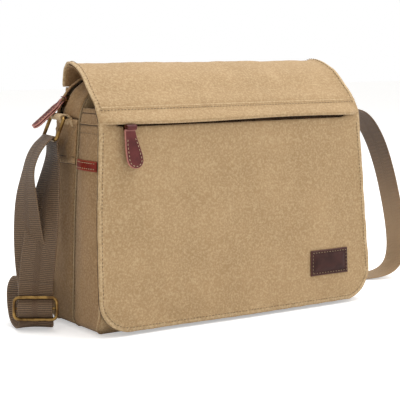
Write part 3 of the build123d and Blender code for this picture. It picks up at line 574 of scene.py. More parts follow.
def swell(y, z, nx):
    """How far the side or foot cloth stands out at a depth and height."""
    settings = cloth()
    if y >= WALL_Y:
        share = (y - WALL_Y) / (BACK_Y - WALL_Y)
    else:
        share = (WALL_Y - y) / max(WALL_Y - front_y(z), 0.01)
    share = max(0.0, min(1.0, share))
    arch = sin(pi * share) ** 0.7
    level = smooth_step(0.004, 0.06, z) * smooth_step(0.245, 0.19, z)
    lift = settings.bulge * arch * level * abs(nx)
    fade = smooth_step(0.002, 0.02, z)
    large = 0.9 * rumple(nx * 3, y, z, 0.035, 2.0)
    lift += settings.creases * fade * arch * (large + 0.35 * rumple(y, z, nx, 0.012))
    valley = smooth_step(0.0035, 0.0, abs(y - WALL_Y))
    return lift - 0.0009 * valley * fade


def sag(x, z):
    """Where a sideways place ends up: the filled bag sags outward low on its left."""
    return x - 0.0045 * smooth_step(0.0, -0.2, x) * smooth_step(0.27, 0.12, z)


def skin(mark, y, lift=0.0):
    """The bag's outer face at an outline mark and depth."""
    x, z, nx, nz = mark
    height = swell(y, z, nx) + lift
    return Vector((sag(x + nx * height, z), y, z + nz * height))


def side_point(side, y, z, lift=0.0):
    """The bag's side face at a depth and height, lifted off it."""
    slope = TOP_TAPER / BODY_TOP
    mark = (side * round_half(z), z, side, slope)
    if z > BODY_TOP - TOP_RADIUS:
        rise = (z - (BODY_TOP - TOP_RADIUS)) / TOP_RADIUS
        mark = (side * round_half(z), z, side * sqrt(max(1 - rise * rise, 0)), rise)
    return skin(mark, y, lift)


def spread(low, high, count):
    """Evenly spaced values from low to high."""
    return [low + (high - low) * n / (count - 1) for n in range(count)]


def split_outline(height):
    """The outline's marks below a height, left end first, and those above it, left end first."""
    path = outline()
    half = len(path)
    first = next(n for n in range(half) if path[n][1] > height)
    last = max(n for n in range(half) if path[n][1] > height)
    below = path[last + 1 :] + path[:first]
    above = list(reversed(path[first : last + 1]))
    ends = [(-round_half(height), height, -1.0, 0.05), (round_half(height), height, 1.0, 0.05)]
    return [ends[0]] + below + [ends[1]], [ends[0]] + above + [ends[1]]


# ---------------------------------------------------------------- pieces of the body


def build_main_shell():
    """Back panel, gusset and wall of the main compartment, with the back's piping and the front seam."""
    step = 0.0035
    depths = spread(WALL_Y, BACK_Y, 22)
    below = split_outline(GUSSET_TOP)[0]
    # The gusset takes the darker side canvas, which is painted shade on the bag's sides.
    gusset = sheet(
        "Main gusset", "side", [[skin(m, y) for y in depths] for m in below], CANVAS,
        wear=[[0.7 * smooth_step(0.004, 0.0, BACK_Y - y) for y in depths] for m in below],
    )
    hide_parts("main_gusset")

    rows = int(BODY_TOP / step)
    for name, node, key, face, way, thickness in (
        ("Back panel", "back_panel", "canvas", BACK_Y, 1, CANVAS),
        ("Compartment wall", "compartment_wall", "canvas", WALL_Y, -1, CANVAS),
    ):
        grid, wear = [], []
        for i in range(rows + 1):
            z = BODY_TOP * i / rows
            half = round_half(z)
            line, worn = [], []
            for x in spread(-half * way * -1, half * way * -1, int(2 * BODY_HALF / step) + 1):
                edge = min(half - abs(x) + 0.001, z + 0.001, BODY_TOP - z + 0.001)
                plump = smooth_step(0.0, 0.07, edge)
                crease = cloth().creases * smooth_step(0, 0.03, edge)
                y = face + way * (0.0022 * plump + crease * rumple(x, 0, z, 0.05, 5.0 * way))
                line.append(Vector((sag(x, z), y, z)))
                worn.append(0.7 * smooth_step(HEM, 0.0, edge))
            grid.append(line)
            wear.append(worn)
        panel = sheet(name, key, grid, thickness, wear=wear)
        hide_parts(node)

    # The back gets canvas piping; the dark cord along the front seam stands for its thread and also for painted
    # shade in the seam's valley.
    for name, y, key, radius in (
        ("Piping, back", BACK_Y, "canvas", 0.0014), ("Seam, front", WALL_Y, "dark_thread", 0.0007)
    ):
        ring = [
            Vector((sag(x + nx * 0.0004, z), y, max(z + nz * 0.0004, 0.0015))) for x, z, nx, nz in outline()
        ]
        tube(name, key, ring, radius, closed=True)


def build_zip_strips():
    """The zip's strips, tape and teeth over the top of the main compartment."""
    above = split_outline(GUSSET_TOP)[1]
    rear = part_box("zip_strip_rear")
    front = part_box("zip_strip_front")

    def arch(mark, y, lift=0.0):
        x, z, nx, nz = mark
        wave = 0.0007 * rumple(x, y, z, 0.03, 9.0)
        return Vector((x + nx * (lift + wave), y, z + nz * (lift + wave)))

    # The strips fold back under themselves beside the zip and hide most of it
    front_depths = spread(front[0][1], ZIP_Y - 0.0013, 12)
    grid = []
    for mark in above:
        line = []
        for y in front_depths:
            share = (y - front_depths[0]) / (front_depths[-1] - front_depths[0])
            line.append(arch(mark, y, 0.0024 * smooth_step(0.45, 0.9, share)))
        grid.append(line)
    strip = sheet("Zip strip, front", "side", grid, 0.0022,
                  wear=[[smooth_step(0.85, 1.0, n / 11) for n in range(12)] for m in above])
    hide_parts("zip_strip_front")

    rear_depths = spread(ZIP_Y + 0.0014, rear[1][1], 9)
    grid = []
    for mark in above:
        line = []
        for y in rear_depths:
            share = (y - rear_depths[0]) / (rear_depths[-1] - rear_depths[0])
            puff = 0.0050 + 0.0030 * abs(mark[2])
            line.append(arch(mark, y, puff * smooth_step(0.98, 0.1, share)))
        grid.append(line)
    strip = sheet("Zip strip, rear", "side", grid, 0.0022,
                  wear=[[smooth_step(0.2, 0.0, n / 8) for n in range(9)] for m in above])
    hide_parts("zip_strip_rear")

    depths = spread(ZIP_TAPE[0][1], ZIP_TAPE[1][1], 6)
    tape = sheet("Main zip tape", "tape", [[arch(m, y, -0.0006) for y in depths] for m in above], 0.0008)
    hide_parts("main_zip_tape")
    line = [arch(mark, ZIP_Y, 0.0) for mark in above]
    points, faces = [], []
    for n, (spot, way) in enumerate(walk(line, 0.0022)):
        up = way.cross(Vector((0, 1, 0)))
        if up.z < 0 and abs(up.z) > 0.3:
            up.negate()
        if up.x * spot.x < 0 and abs(up.z) <= 0.3:
            up.negate()
        shift = 0.0009 if n % 2 else -0.0009
        points, faces = tooth(points, faces, spot + Vector((0, shift, 0)), way, Vector((0, 1, 0)), up)
    teeth = new_object("Main zip teeth", "teeth", points, faces, [(p.x, p.y) for p in points])
    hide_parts("main_zip_teeth")
    rows = []
    for y, lift, puff in ((ZIP_Y - 0.0055, 0.0028, 0.0), (ZIP_Y + 0.0060, 0.0050, 0.0030)):
        rows.append(([arch(m, y, lift + puff * abs(m[2])) for m in above], outward))
    stitches("Stitches, main zip", rows)


def tooth(points, faces, spot, way, side, up):
    """One zip tooth, a small block with a raised middle, added to the lists."""
    base = len(points)
    a, b, c = way * 0.0008, side * 0.0021, up * 0.0014
    points += [spot - a - b, spot + a - b, spot + a + b, spot - a + b]
    points += [spot - a * 0.8 - b * 0.8 + c, spot + a * 0.8 - b * 0.8 + c]
    points += [spot + a * 0.8 + b * 0.8 + c, spot - a * 0.8 + b * 0.8 + c]
    faces += [tuple(base + n for n in f) for f in
              ((3, 2, 1, 0), (4, 5, 6, 7), (0, 1, 5, 4), (1, 2, 6, 5), (2, 3, 7, 6), (3, 0, 4, 7))]
    return points, faces


def outward(spot):
    """The way out of the body's outline near a point."""
    middle = Vector((max(-0.13, min(0.13, spot.x)), spot.y, max(0.02, min(0.226, spot.z))))
    way = spot - middle
    way.y = 0
    return way.normalized()


def build_front_shell():
    """Gusset, panel and piping of the front compartment."""
    step = 0.0035
    below = split_outline(FRONT_TOP)[0]
    shares = spread(0.0, 1.0, 22)
    grid, wear = [], []
    for mark in below:
        low = front_y(mark[1]) + 0.0005
        line = [skin(mark, low + (WALL_Y - low) * s) for s in shares]
        grid.append(line)
        wear.append([0.8 * smooth_step(0.06, 0.0, s) for s in shares])
    # The gusset takes the darker side canvas, which is painted shade on the bag's sides.
    gusset = sheet("Front gusset", "side", grid, CANVAS, wear=wear)
    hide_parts("front_gusset")

    rows = int(FRONT_TOP / step)
    grid, wear = [], []
    for i in range(rows + 1):
        z = FRONT_TOP * i / rows
        half = round_half(z)
        line, worn = [], []
        for x in spread(-half, half, int(2 * BODY_HALF / step) + 1):
            edge = min(half - abs(x) + 0.001, z + 0.001)
            y = front_y(z) - 0.0003 * smooth_step(0.0, 0.06, edge)
            y += 0.0003 * smooth_step(0, 0.03, edge) * rumple(x, 0, z, 0.05, 3.0)
            line.append(Vector((sag(x, z), y, z)))
            worn.append(smooth_step(HEM, 0.0, min(edge, FRONT_TOP - z)))
        grid.append(line)
        wear.append(worn)
    panel = sheet("Front panel", "canvas", grid, CANVAS, wear=wear)
    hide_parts("front_panel")
    ring = []
    for x, z, _, _ in below:
        ring.append(Vector((sag(x, z), front_y(z) - 0.0002, max(z, 0.0011))))
    tube("Piping, front panel", "side", ring, 0.0010)


def build_linings():
    """Linings of both compartments, the padded divider and the slip pocket."""
    for name, node, low, high, top in (
        ("Main lining", "main_lining", WALL_Y + CANVAS, BACK_Y - CANVAS, GUSSET_TOP),
        ("Front lining", "front_lining", None, WALL_Y, FRONT_TOP),
    ):
        below = split_outline(top)[0]
        inset = CANVAS + 0.0006
        grid = []
        for x, z, nx, nz in below:
            start = front_y(z) + CANVAS + 0.0008 if low is None else low + 0.0008
            end = high - 0.0008
            line = []
            for y in spread(start, end, 9):
                line.append(Vector((sag(x - nx * inset, z), y, z - nz * inset)))
            grid.append(line)
        cloth_piece = sheet(name, "lining", grid, 0.0006)
        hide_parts(node)
        for face in (0, 1):
            grid = []
            for i in range(41):
                z = inset + (top - inset) * i / 40
                half = round_half(z) - inset
                if face:
                    y = high - 0.0007
                else:
                    y = (front_y(z) + CANVAS + 0.0008) if low is None else low + 0.0007
                wave = 0.0004 * rumple(0, face, z, 0.05)
                line = [Vector((sag(x, z), y + wave * smooth_step(0, 0.02, half - abs(x)), z))
                        for x in spread(-half, half, 61)]
                grid.append(line if face == 0 else list(reversed(line)))
            sheet(name + (" back" if face else " face"), "lining", grid, 0.0005)

    low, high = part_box("laptop_divider")
    middle, half_depth = (low[1] + high[1]) / 2, (high[1] - low[1]) / 2
    grid = []
    for i in range(49):
        z = low[2] + (high[2] - low[2]) * i / 48
        half = min(round_half(max(z, FOOT_RADIUS * 0.4)) - CANVAS - 0.0012, high[0])
        line = []
        for k in range(120):
            turn = 2 * pi * k / 120
            x = half * max(-1, min(1, 1.06 * cos(turn)))
            edge = min(half - abs(x), high[2] - z, 0.03)
            quilt = 0.0006 * abs(sin(pi * x / 0.06)) * smooth_step(0, 0.02, edge)
            depth = half_depth * (0.35 + 0.65 * smooth_step(0.0, 0.008, edge)) + quilt
            depth *= max(-1, min(1, 5 * sin(turn)))
            line.append(Vector((x, middle + depth, z)))
        grid.append(line)
    points = [p for line in grid for p in line]
    faces = []
    for i in range(48):
        for k in range(120):
            m = (k + 1) % 120
            faces.append((i * 120 + k, i * 120 + m, (i + 1) * 120 + m, (i + 1) * 120 + k))
    faces += [tuple(range(120)), tuple(48 * 120 + k for k in reversed(range(120)))]
    divider = new_object("Padded divider", "lining", points, faces, [(p.x, p.z) for p in points])
    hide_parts("laptop_divider")

    low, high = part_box("slip_pocket")
    grid = []
    for i in range(37):
        z = low[2] + (high[2] - low[2]) * i / 36
        slack = 0.0007 * smooth_step(0.6, 1.0, i / 36)
        grid.append([Vector((x, low[1] - 0.0001 - slack * sin(pi * n / 48), z))
                     for n, x in enumerate(spread(low[0], high[0], 49))])
    pocket = sheet("Slip pocket", "lining", grid, 0.0007)
    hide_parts("slip_pocket")


# ---------------------------------------------------------------- side trim


def side_sheet(name, key, side, y_range, z_range, thickness, nodes, hem=0.0, crumple=0.0):
    """A piece sewn flat onto the bag's side between two depths and heights."""
    grid, wear = [], []
    zs = spread(*z_range, 21)
    for z in zs:
        line, worn = [], []
        for y in spread(*y_range(z), 19):
            edge = min(z - zs[0], zs[-1] - z)
            fold = 0.0012 * smooth_step(hem, hem * 0.7, edge) if hem else 0.0
            lump = crumple * smooth_step(0.0, 0.01, edge) * (
                0.7 + 0.8 * rumple(y, z, side, 0.02, 4.0) + 0.9 * crease_lines(y + 0.6 * z, z, 0.02, 3.0)
            )
            line.append(side_point(side, y, z, thickness + fold + lump))
            worn.append(smooth_step(hem, 0.0, edge) if hem else smooth_step(0.0015, 0.0, edge))
        if side < 0:
            line.reverse()
            worn.reverse()
        grid.append(line)
        wear.append(worn)
    piece = sheet(name, key, grid, thickness, wear=wear)
    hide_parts(*nodes)
    return piece


def build_side_trim():
    """Strap patches, leather tabs, their stitches and the canvas loops that hold the rings."""
    for side, name in ((-1, "left"), (1, "right")):
        out = Vector((side, 0, 0.03)).normalized()
        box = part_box("strap_patch_" + name)
        low, high = box[0][2], box[1][2]
        side_sheet(
            "Strap patch, " + name, "side", side, lambda z: (WALL_Y + 0.0018, BACK_Y - 0.0018),
            (low, high), 0.0015, ["strap_patch_" + name], hem=0.006, crumple=0.0015,
        )
        for number, z in enumerate((high + 0.0008, low - 0.0008, low + 0.0068)):
            lift = 0.0003 if number < 2 else 0.0022
            line = [side_point(side, y, z, lift) for y in spread(0.0065, BACK_Y - 0.002, 20)]
            tube("Patch shadow, %s %d" % (name, number), "tape", line, 0.0006)
        rows = []
        for z in (high - 0.0025, high - 0.0085, low + 0.0025, low + 0.0085):
            line = [side_point(side, y, z, 0.0022) for y in spread(WALL_Y + 0.003, BACK_Y - 0.003, 20)]
            rows.append((line, out))
        # The front compartment's own reinforcement: two hems across its side
        for z in (0.2425, 0.2242, 0.2163):
            line = [side_point(side, y, z, 0.0004) for y in spread(front_y(z) + 0.002, WALL_Y - 0.002, 20)]
            rows.append((line, out))
        for y in (WALL_Y + 0.0032, BACK_Y - 0.0032):
            rows.append(([side_point(side, y, z, 0.0002) for z in spread(0.02, low - 0.002, 60)], out))
        seam = [side_point(side, WALL_Y - 0.0032, z, 0.0002) for z in spread(0.02, FRONT_TOP - 0.004, 60)]
        rows.append((seam, out))
        stitches("Stitches, side " + name, rows, "dark_thread")
        for z in (0.2383, 0.2263):
            line = [side_point(side, y, z, 0.0003) for y in spread(front_y(z) + 0.001, WALL_Y - 0.001, 20)]
            tube("Hem, side %s %d" % (name, z * 10000), "side", line, 0.0007)
            along = spread(front_y(z) + 0.001, WALL_Y - 0.001, 20)
            line = [side_point(side, y, z - 0.0011, 0.0001) for y in along]
            tube("Hem shadow, side %s %d" % (name, z * 10000), "tape", line, 0.0005)

        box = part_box("side_tab_" + name)
        low, high = box[0][2] + 0.001, box[1][2] - 0.001
        side_sheet(
            "Leather tab, " + name, "tab", side, lambda z: (front_y(z) + 0.0012, WALL_Y - 0.0008),
            (low, high), 0.0016, ["side_tab_" + name],
        )
        rows = []
        for z in (low + 0.002, high - 0.002):
            line = [side_point(side, y, z, 0.0018) for y in spread(front_y(z) + 0.003, WALL_Y - 0.003, 20)]
            rows.append((line, out))
        stitches("Stitches, tab " + name, rows, "pale_thread")

        hinge = HINGES["ring_%s_swing" % name]
        centre = Vector(hinge["pos_m"])
        along = Vector((0.165 * -side, 0.986, 0)).normalized()
        away = Vector((side, 0, 0))
        patch_x = abs(side_point(side, centre.y, 0.215, 0.0022).x)
        sewn = patch_x - abs(centre.x)
        route = [(sewn - 0.0030, -0.012), (sewn - 0.0014, -0.0050), (sewn + 0.0004, 0.0004),
                 (-0.0056, 0.0034)]
        for k in range(9):
            turn = radians(112 - 27 * k)
            route.append((0.0036 * cos(turn), 0.0036 * sin(turn)))
        route += [(-0.0048, -0.0040), (sewn + 0.0002, -0.0026), (sewn - 0.0016, -0.0060)]
        grid = []
        for step in spread(-0.016, 0.016, 13):
            line = []
            spot = centre + along * step
            drift = abs(side_point(side, spot.y, 0.215, 0.0022).x) - abs(spot.x) - sewn
            for n, (u, v) in enumerate(route):
                wave = 0.0004 * rumple(u, step, v, 0.008) + drift * smooth_step(-0.0036, sewn, u)
                line.append(spot + away * (u + wave) + Vector((0, 0, v)))
            grid.append(line if side > 0 else list(reversed(line)))
        # The loop is mixed paler all over as a painted highlight on its curve, and palest along its rubbed
        # edges.
        loop = sheet("Ring loop, " + name, "canvas", grid, 0.0020,
                     wear=[[1.0 if n in (0, 1, 11, 12) else 0.6 for _ in route] for n in range(13)])
        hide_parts("anchor_tab_" + name)


# ---------------------------------------------------------------- the flap


FLAP_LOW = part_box("flap_lining")
FLAP_UP = Vector((0, FRONT_SLOPE, 1)).normalized()
FLAP_OUT = Vector((0, -1, FRONT_SLOPE)).normalized()
FLAP_ORIGIN = Vector((0, FRONT_FOOT, 0)) + FLAP_OUT * 0.003
FLAP_BOTTOM = 0.004
FLAP_TOP = 0.247
FLAP_HALF_LOW = (FLAP_LOW[1][0] - FLAP_LOW[0][0]) / 2
FLAP_HALF_HIGH = FLAP_HALF_LOW - TOP_TAPER


def flap_half(t, rounded=True):
    """Half the flap's width at a distance up its front."""
    share = (t - FLAP_BOTTOM) / (FLAP_TOP - FLAP_BOTTOM)
    half = FLAP_HALF_LOW + (FLAP_HALF_HIGH - FLAP_HALF_LOW) * share
    drop = FLAP_BOTTOM + FLAP_CORNER - t
    if rounded and drop > 0:
        drop = min(drop, FLAP_CORNER)
        half -= FLAP_CORNER - sqrt(FLAP_CORNER**2 - drop**2)
    return half


def flap_lift(x, t):
    """How far the flap's cloth swells out at a point of its front."""
    settings = cloth()
    edge = max(0.0, min(flap_half(t) - abs(x), t - FLAP_BOTTOM))
    plump = smooth_step(0.0, 0.07, edge) * smooth_step(0.25, 0.20, t)
    lift = settings.pillow * plump
    lift += settings.creases * (0.75 * rumple(x, 0, t, 0.075, 1.3) + 0.22 * rumple(x, 1, t, 0.02, 7.7))
    slant = (x * 0.8 + t) if x < 0 else (t - x * 0.8)
    corner = smooth_step(0.09, 0.02, min(t, 0.12)) * smooth_step(0.08, 0.16, abs(x))
    lift += 0.0006 * corner * sin(slant / 0.009)
    lift += 0.0009 * sin(x / 0.043 + 0.6) * smooth_step(0.03, 0.0, t - FLAP_BOTTOM)
    return lift - lean_back(t)


def on_flap(x, t, n):
    """A point of the flap's front at a height over its CAD plane, swelling with the cloth."""
    return FLAP_ORIGIN + Vector((sag(x, t), 0, 0)) + FLAP_UP * t + FLAP_OUT * (n + flap_lift(x, t))


def flap_panel(name, key, low, high, face, thickness, nodes, hem, ends=0.0):
    """A panel of the flap's front between two heights.

    Its foot is rounded, and its top rises by `ends` at its ends.
    """
    step = 0.0024
    rows = max(4, int((high - low) / step))
    columns = int(2 * FLAP_HALF_LOW / step)
    grid, wear = [], []
    for i in range(rows + 1):
        t = low + (high - low) * i / rows
        half = flap_half(max(t, FLAP_BOTTOM + 0.0004))
        line, worn = [], []
        for x in spread(-half, half, columns + 1):
            edge = half - abs(x)
            if t < FLAP_BOTTOM + FLAP_CORNER:
                square = flap_half(t, False) - FLAP_CORNER
                if abs(x) > square:
                    reach = sqrt((abs(x) - square) ** 2 + (FLAP_BOTTOM + FLAP_CORNER - t) ** 2)
                    edge = max(0.0, FLAP_CORNER - reach)
                else:
                    edge = min(edge, t - FLAP_BOTTOM)
            fold = 0.0
            if hem:
                band = smooth_step(HEM + 0.0012, HEM - 0.0012, edge)
                pucker = 0.00025 * sin(x / 0.0041 + t / 0.0047) * band
                fold = 0.0008 * band + pucker - 0.0004 * smooth_step(0.0012, 0.0, abs(edge - HEM * 0.62))
            rise = ends * smooth_step(0.030, 0.010, half - abs(x)) * smooth_step(high - 0.02, high, t)
            line.append(on_flap(x, t + rise, face + fold))
            near = smooth_step(0.0, 0.0012, edge) * smooth_step(0.0042, 0.0015, edge)
            worn.append(0.75 * near + 0.2 * smooth_step(HEM + 0.001, HEM - 0.001, edge) if hem else 0.0)
        grid.append(line)
        wear.append(worn)
    piece = sheet(name, key, grid, thickness, body="flap_front", wear=wear)
    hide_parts(*nodes)
    return piece


def flap_edge(inset, top, lift):
    """A line that follows the flap's sides and rounded foot, drawn in by inset."""
    line = []
    for t in spread(top, FLAP_BOTTOM + FLAP_CORNER, 60):
        line.append((-flap_half(t) + inset, t))
    for k in range(1, 16):
        turn = radians(90 * k / 16)
        radius = FLAP_CORNER - inset
        square = FLAP_HALF_LOW - FLAP_CORNER - 0.0004
        line.append((-square - radius * cos(turn), FLAP_BOTTOM + FLAP_CORNER - radius * sin(turn)))
    half = [(-x, t) for x, t in reversed(line)]
    reach = FLAP_HALF_LOW - FLAP_CORNER
    foot = [(x, FLAP_BOTTOM + inset) for x in spread(-reach, reach, 80)]
    return [on_flap(x, t, lift) for x, t in line + foot + half]


def build_flap_front():
    """The flap's lining, pocket panel, upper panel, zip, placket and stitches."""
    pocket_top = 0.2234
    upper_low = 0.229
    flap_panel("Flap lining", "lining", FLAP_BOTTOM + 0.0008, FLAP_TOP, 0.0012, 0.0008, ["flap_lining"],
               False)
    flap_panel("Flap pocket panel", "canvas", FLAP_BOTTOM, pocket_top, CLOTH_FACE, 0.0018,
               ["flap_pocket_panel"],
               True, 0.0052)
    flap_panel("Flap zip tape", "tape", pocket_top - 0.003, upper_low + 0.003, 0.0019, 0.0007,
               ["flap_zip_tape"],
               False)
    flap_panel("Flap upper panel", "canvas", upper_low, FLAP_TOP, CLOTH_FACE, 0.0018, ["flap_upper_panel"],
               True)

    points, faces = [], []
    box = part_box("flap_zip_teeth")
    spots = int((box[1][0] - box[0][0]) / 0.0022)
    for n in range(spots + 1):
        x = box[0][0] + 0.0022 * n
        shift = 0.0009 if n % 2 else -0.0009
        points, faces = tooth(points, faces, on_flap(x, 0.2243 + shift, 0.0010), Vector((1, 0, 0)), FLAP_UP,
                              FLAP_OUT)
    teeth = new_object("Flap zip teeth", "teeth", points, faces, [(p.x, p.z) for p in points], None,
                       "flap_front")
    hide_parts("flap_zip_teeth")

    # The placket is a folded flap of canvas over the zip: sewn along its top, free below, closed at both ends
    grid, wear = [], []
    half = FLAP_HALF_HIGH + 0.0008
    for i in range(17):
        share = i / 16
        t = 0.2266 + (0.2455 - 0.2266) * share
        line, worn = [], []
        for x in spread(-half, half, 150):
            ends = smooth_step(0.0, 0.02, half - abs(x))
            stand = (0.0060 - 0.0050 * smooth_step(0.0, 0.9, share)) * ends + 0.0012
            roll = -0.0022 * smooth_step(0.12, 0.0, share)
            wave = 0.0006 * sin(x / 0.031 + 1) * (1 - share) * ends
            sewn = -0.0004 * smooth_step(0.06, 0.0, abs(share - 0.86))
            line.append(on_flap(x, t + 0.0010 * sin(x / 0.05) * (1 - share),
                                CLOTH_FACE + stand + roll + wave + sewn))
            # Paler along the folded lower edge, which is rubbed wear and also a painted highlight on the fold;
            # paler by wear at the sewn top.
            worn.append(0.9 * smooth_step(0.14, 0.0, share) + 0.7 * smooth_step(0.94, 1.0, share))
        grid.append(line)
        wear.append(worn)
    placket = sheet("Placket", "canvas", grid, 0.0015, body="flap_front", wear=wear)
    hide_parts("placket")

    rows = [(flap_edge(0.0045, 0.2195, 0.0040), FLAP_OUT)]
    rows.append(([on_flap(x, 0.2423, 0.0055) for x in spread(-half + 0.004, half - 0.004, 120)], FLAP_OUT))
    stitches("Stitches, flap", rows, "dark_thread", "flap_front", 0.0006)


def spine_curve(points, resolution=14):
    """Points along a smooth line through a row of control points."""
    data = bpy.data.curves.new("Line", "CURVE")
    data.dimensions = "3D"
    spline = data.splines.new("NURBS")
    spline.points.add(len(points) - 1)
    for control, point in zip(spline.points, points):
        control.co = (point[0], point[1], point[2], 1.0)
    spline.order_u = 3
    spline.use_endpoint_u = True
    spline.resolution_u = resolution
    holder = bpy.data.objects.new("Line", data)
    bpy.context.scene.collection.objects.link(holder)
    bpy.context.view_layer.update()
    mesh = bpy.data.meshes.new_from_object(holder.evaluated_get(bpy.context.evaluated_depsgraph_get()))
    line = [v.co.copy() for v in mesh.vertices]
    bpy.data.meshes.remove(mesh)
    bpy.data.objects.remove(holder)
    bpy.data.curves.remove(data)
    return line


def bend_at_crease(piece):
    """Bake the piece's placement into its mesh; the crease's position is read but not used."""
    crease = Vector(HINGES["flap_crease"]["pos_m"])
    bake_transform(piece)


def build_flap_roll():
    """The cloth that rolls from the placket over the top to the seam on the back, and that seam."""
    hinge = Vector(HINGES["flap_lift"]["pos_m"])
    start = FLAP_ORIGIN + FLAP_UP * 0.2405 + FLAP_OUT * (0.0036 - lean_back(0.2405))
    above = FLAP_ORIGIN + FLAP_UP * 0.2480 + FLAP_OUT * (0.0042 - lean_back(0.2480))
    controls = [start, above, Vector((0, -0.0212, 0.2605)), Vector((0, -0.0050, 0.2772)),
                Vector((0, 0.020, 0.2896))]
    controls += [Vector((0, 0.041, 0.2922)), Vector((0, 0.0555, 0.2865)),
                 Vector((0, hinge.y + 0.0002, 0.275))]
    controls += [Vector((0, hinge.y + 0.0006, hinge.z + 0.0006))]
    line = spine_curve(controls, 8)
    step = 0.0035
    grid, wear, sewn = [], [], ([], [])
    count = len(line)
    for i, point in enumerate(line):
        share = i / (count - 1)
        crest = smooth_step(0.2, 0.6, share)
        half = FLAP_HALF_HIGH - 0.0045 * crest - 0.0065 * smooth_step(0.5, 0.8, share)
        right = FLAP_HALF_HIGH - 0.0015 * crest
        row, worn = [], []
        way = (line[min(i + 1, count - 1)] - line[max(i - 1, 0)]).normalized()
        out = Vector((0, -way.z, way.y))
        loose = smooth_step(0.06, 0.25, share) * smooth_step(1.0, 0.85, share)
        for x, row_of in ((-half + 0.0042, sewn[0]), (right - 0.0042, sewn[1])):
            lift = 0.0007 + loose * 0.0008 * rumple(x, share * 0.1, 0, 0.07, 6.0)
            lift += loose * 0.0005 * rumple(x, point.y, point.z, 0.02, 2.2)
            row_of.append(point + Vector((x, 0, 0)) + out * (lift + 0.0002))
        for x in spread(-half, right, int(2 * FLAP_HALF_HIGH / step)):
            edge = min(x + half, right - x)
            hem = smooth_step(HEM + 0.001, HEM - 0.001, edge)
            crease = 0.0008 * rumple(x, share * 0.1, 0, 0.07, 6.0)
            lift = 0.0007 * hem + loose * (crease - 0.0012 * (1 - hem))
            lift += loose * 0.0005 * rumple(x, point.y, point.z, 0.02, 2.2)
            row.append(point + Vector((x, 0, 0)) + out * lift)
            worn.append(smooth_step(0.0035, 0.0, edge) + 0.15 * hem)
        grid.append(row)
        wear.append(worn)
    cover = sheet("Flap roll", "canvas", grid, 0.0022, body=None, wear=wear)
    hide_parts("flap_roll")
    bend_at_crease(cover)
    rows = [(row, lambda spot: Vector((0, min(0.0, spot.y - 0.035),
                                       spot.z - 0.25)).normalized()) for row in sewn]
    sewing = stitches("Stitches, roll", rows, "dark_thread", None, 0.0006)
    bend_at_crease(sewing)
    # Its lining lies under it, in the darker side canvas: painted shade inside the roll
    grid = []
    for i, point in enumerate(line[4:]):
        way = (line[min(i + 5, count - 1)] - line[i + 3]).normalized()
        out = Vector((0, -way.z, way.y))
        share = (i + 4) / (count - 1)
        half = FLAP_HALF_HIGH - 0.0010 - 0.0045 * smooth_step(0.2, 0.6, share)
        half -= 0.0065 * smooth_step(0.5, 0.8, share)
        right = FLAP_HALF_HIGH - 0.0010 - 0.0015 * smooth_step(0.2, 0.6, share)
        grid.append([point + Vector((x, 0, 0)) - out * FOLD_GAP for x in spread(-half, right, 80)])
    under = sheet("Flap roll lining", "side", grid, 0.0006, body=None)
    bend_at_crease(under)

    low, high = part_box("flap_seam_strip")
    grid = []
    for z in spread(low[2], high[2] - 0.001, 12):
        grid.append([Vector((x, high[1] - 0.0006 + 0.0005 * sin(pi * (z - low[2]) / (high[2] - low[2])), z))
                     for x in spread(high[0], low[0], 120)])
    strip = sheet("Flap seam strip", "canvas", grid, 0.0020,
                  wear=[[0.8 if i in (0, 11) else 0.0] * 120 for i in range(12)])
    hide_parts("flap_seam_strip")
    rows = []
    for z in (low[2] + 0.0025, high[2] - 0.0045):
        along = spread(low[0] + 0.003, high[0] - 0.003, 120)
        rows.append(([Vector((x, high[1] + 0.0002, z)) for x in along],
                     Vector((0, 1, 0))))
    stitches("Stitches, seam strip", rows)


# ---------------------------------------------------------------- leather, zips and metal


def plate(name, key, shape, thickness, place, body):
    """A flat piece of leather with the outline `shape` (x, t pairs) and rounded edges, placed by a function."""
    centre = Vector((sum(p[0] for p in shape) / len(shape), sum(p[1] for p in shape) / len(shape)))
    rings = [(0.0, -1, 0), (0.35, -1, 0), (0.8, -1, 0), (1.0, -0.55, 1), (1.0, 0.55, 1), (0.97, 0.92, 0.5)]
    rings += [(0.93, 1, 0), (0.8, 1.05, 0), (0.35, 1.25, 0), (0.0, 1.3, 0)]
    points, wear, uvs, faces = [], [], [], []
    count = len(shape)
    for share, level, edge in rings:
        for x, t in shape:
            spot = centre + (Vector((x, t)) - centre) * share
            points.append(place(spot.x, spot.y, min(level, 1.0) * thickness / 2))
            uvs.append((spot.x, spot.y))
            wear.append(float(edge))
    for r in range(len(rings) - 1):
        for k in range(count):
            j = (k + 1) % count
            faces.append((r * count + k, r * count + j, (r + 1) * count + j, (r + 1) * count + k))
    piece = new_object(name, key, points, faces, uvs, wear, None)
    work = bmesh.new()
    work.from_mesh(piece.data)
    bmesh.ops.remove_doubles(work, verts=work.verts, dist=1e-6)
    bmesh.ops.recalc_face_normals(work, faces=work.faces)
    work.to_mesh(piece.data)
    work.free()
    if body:
        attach(piece, body)
    return piece


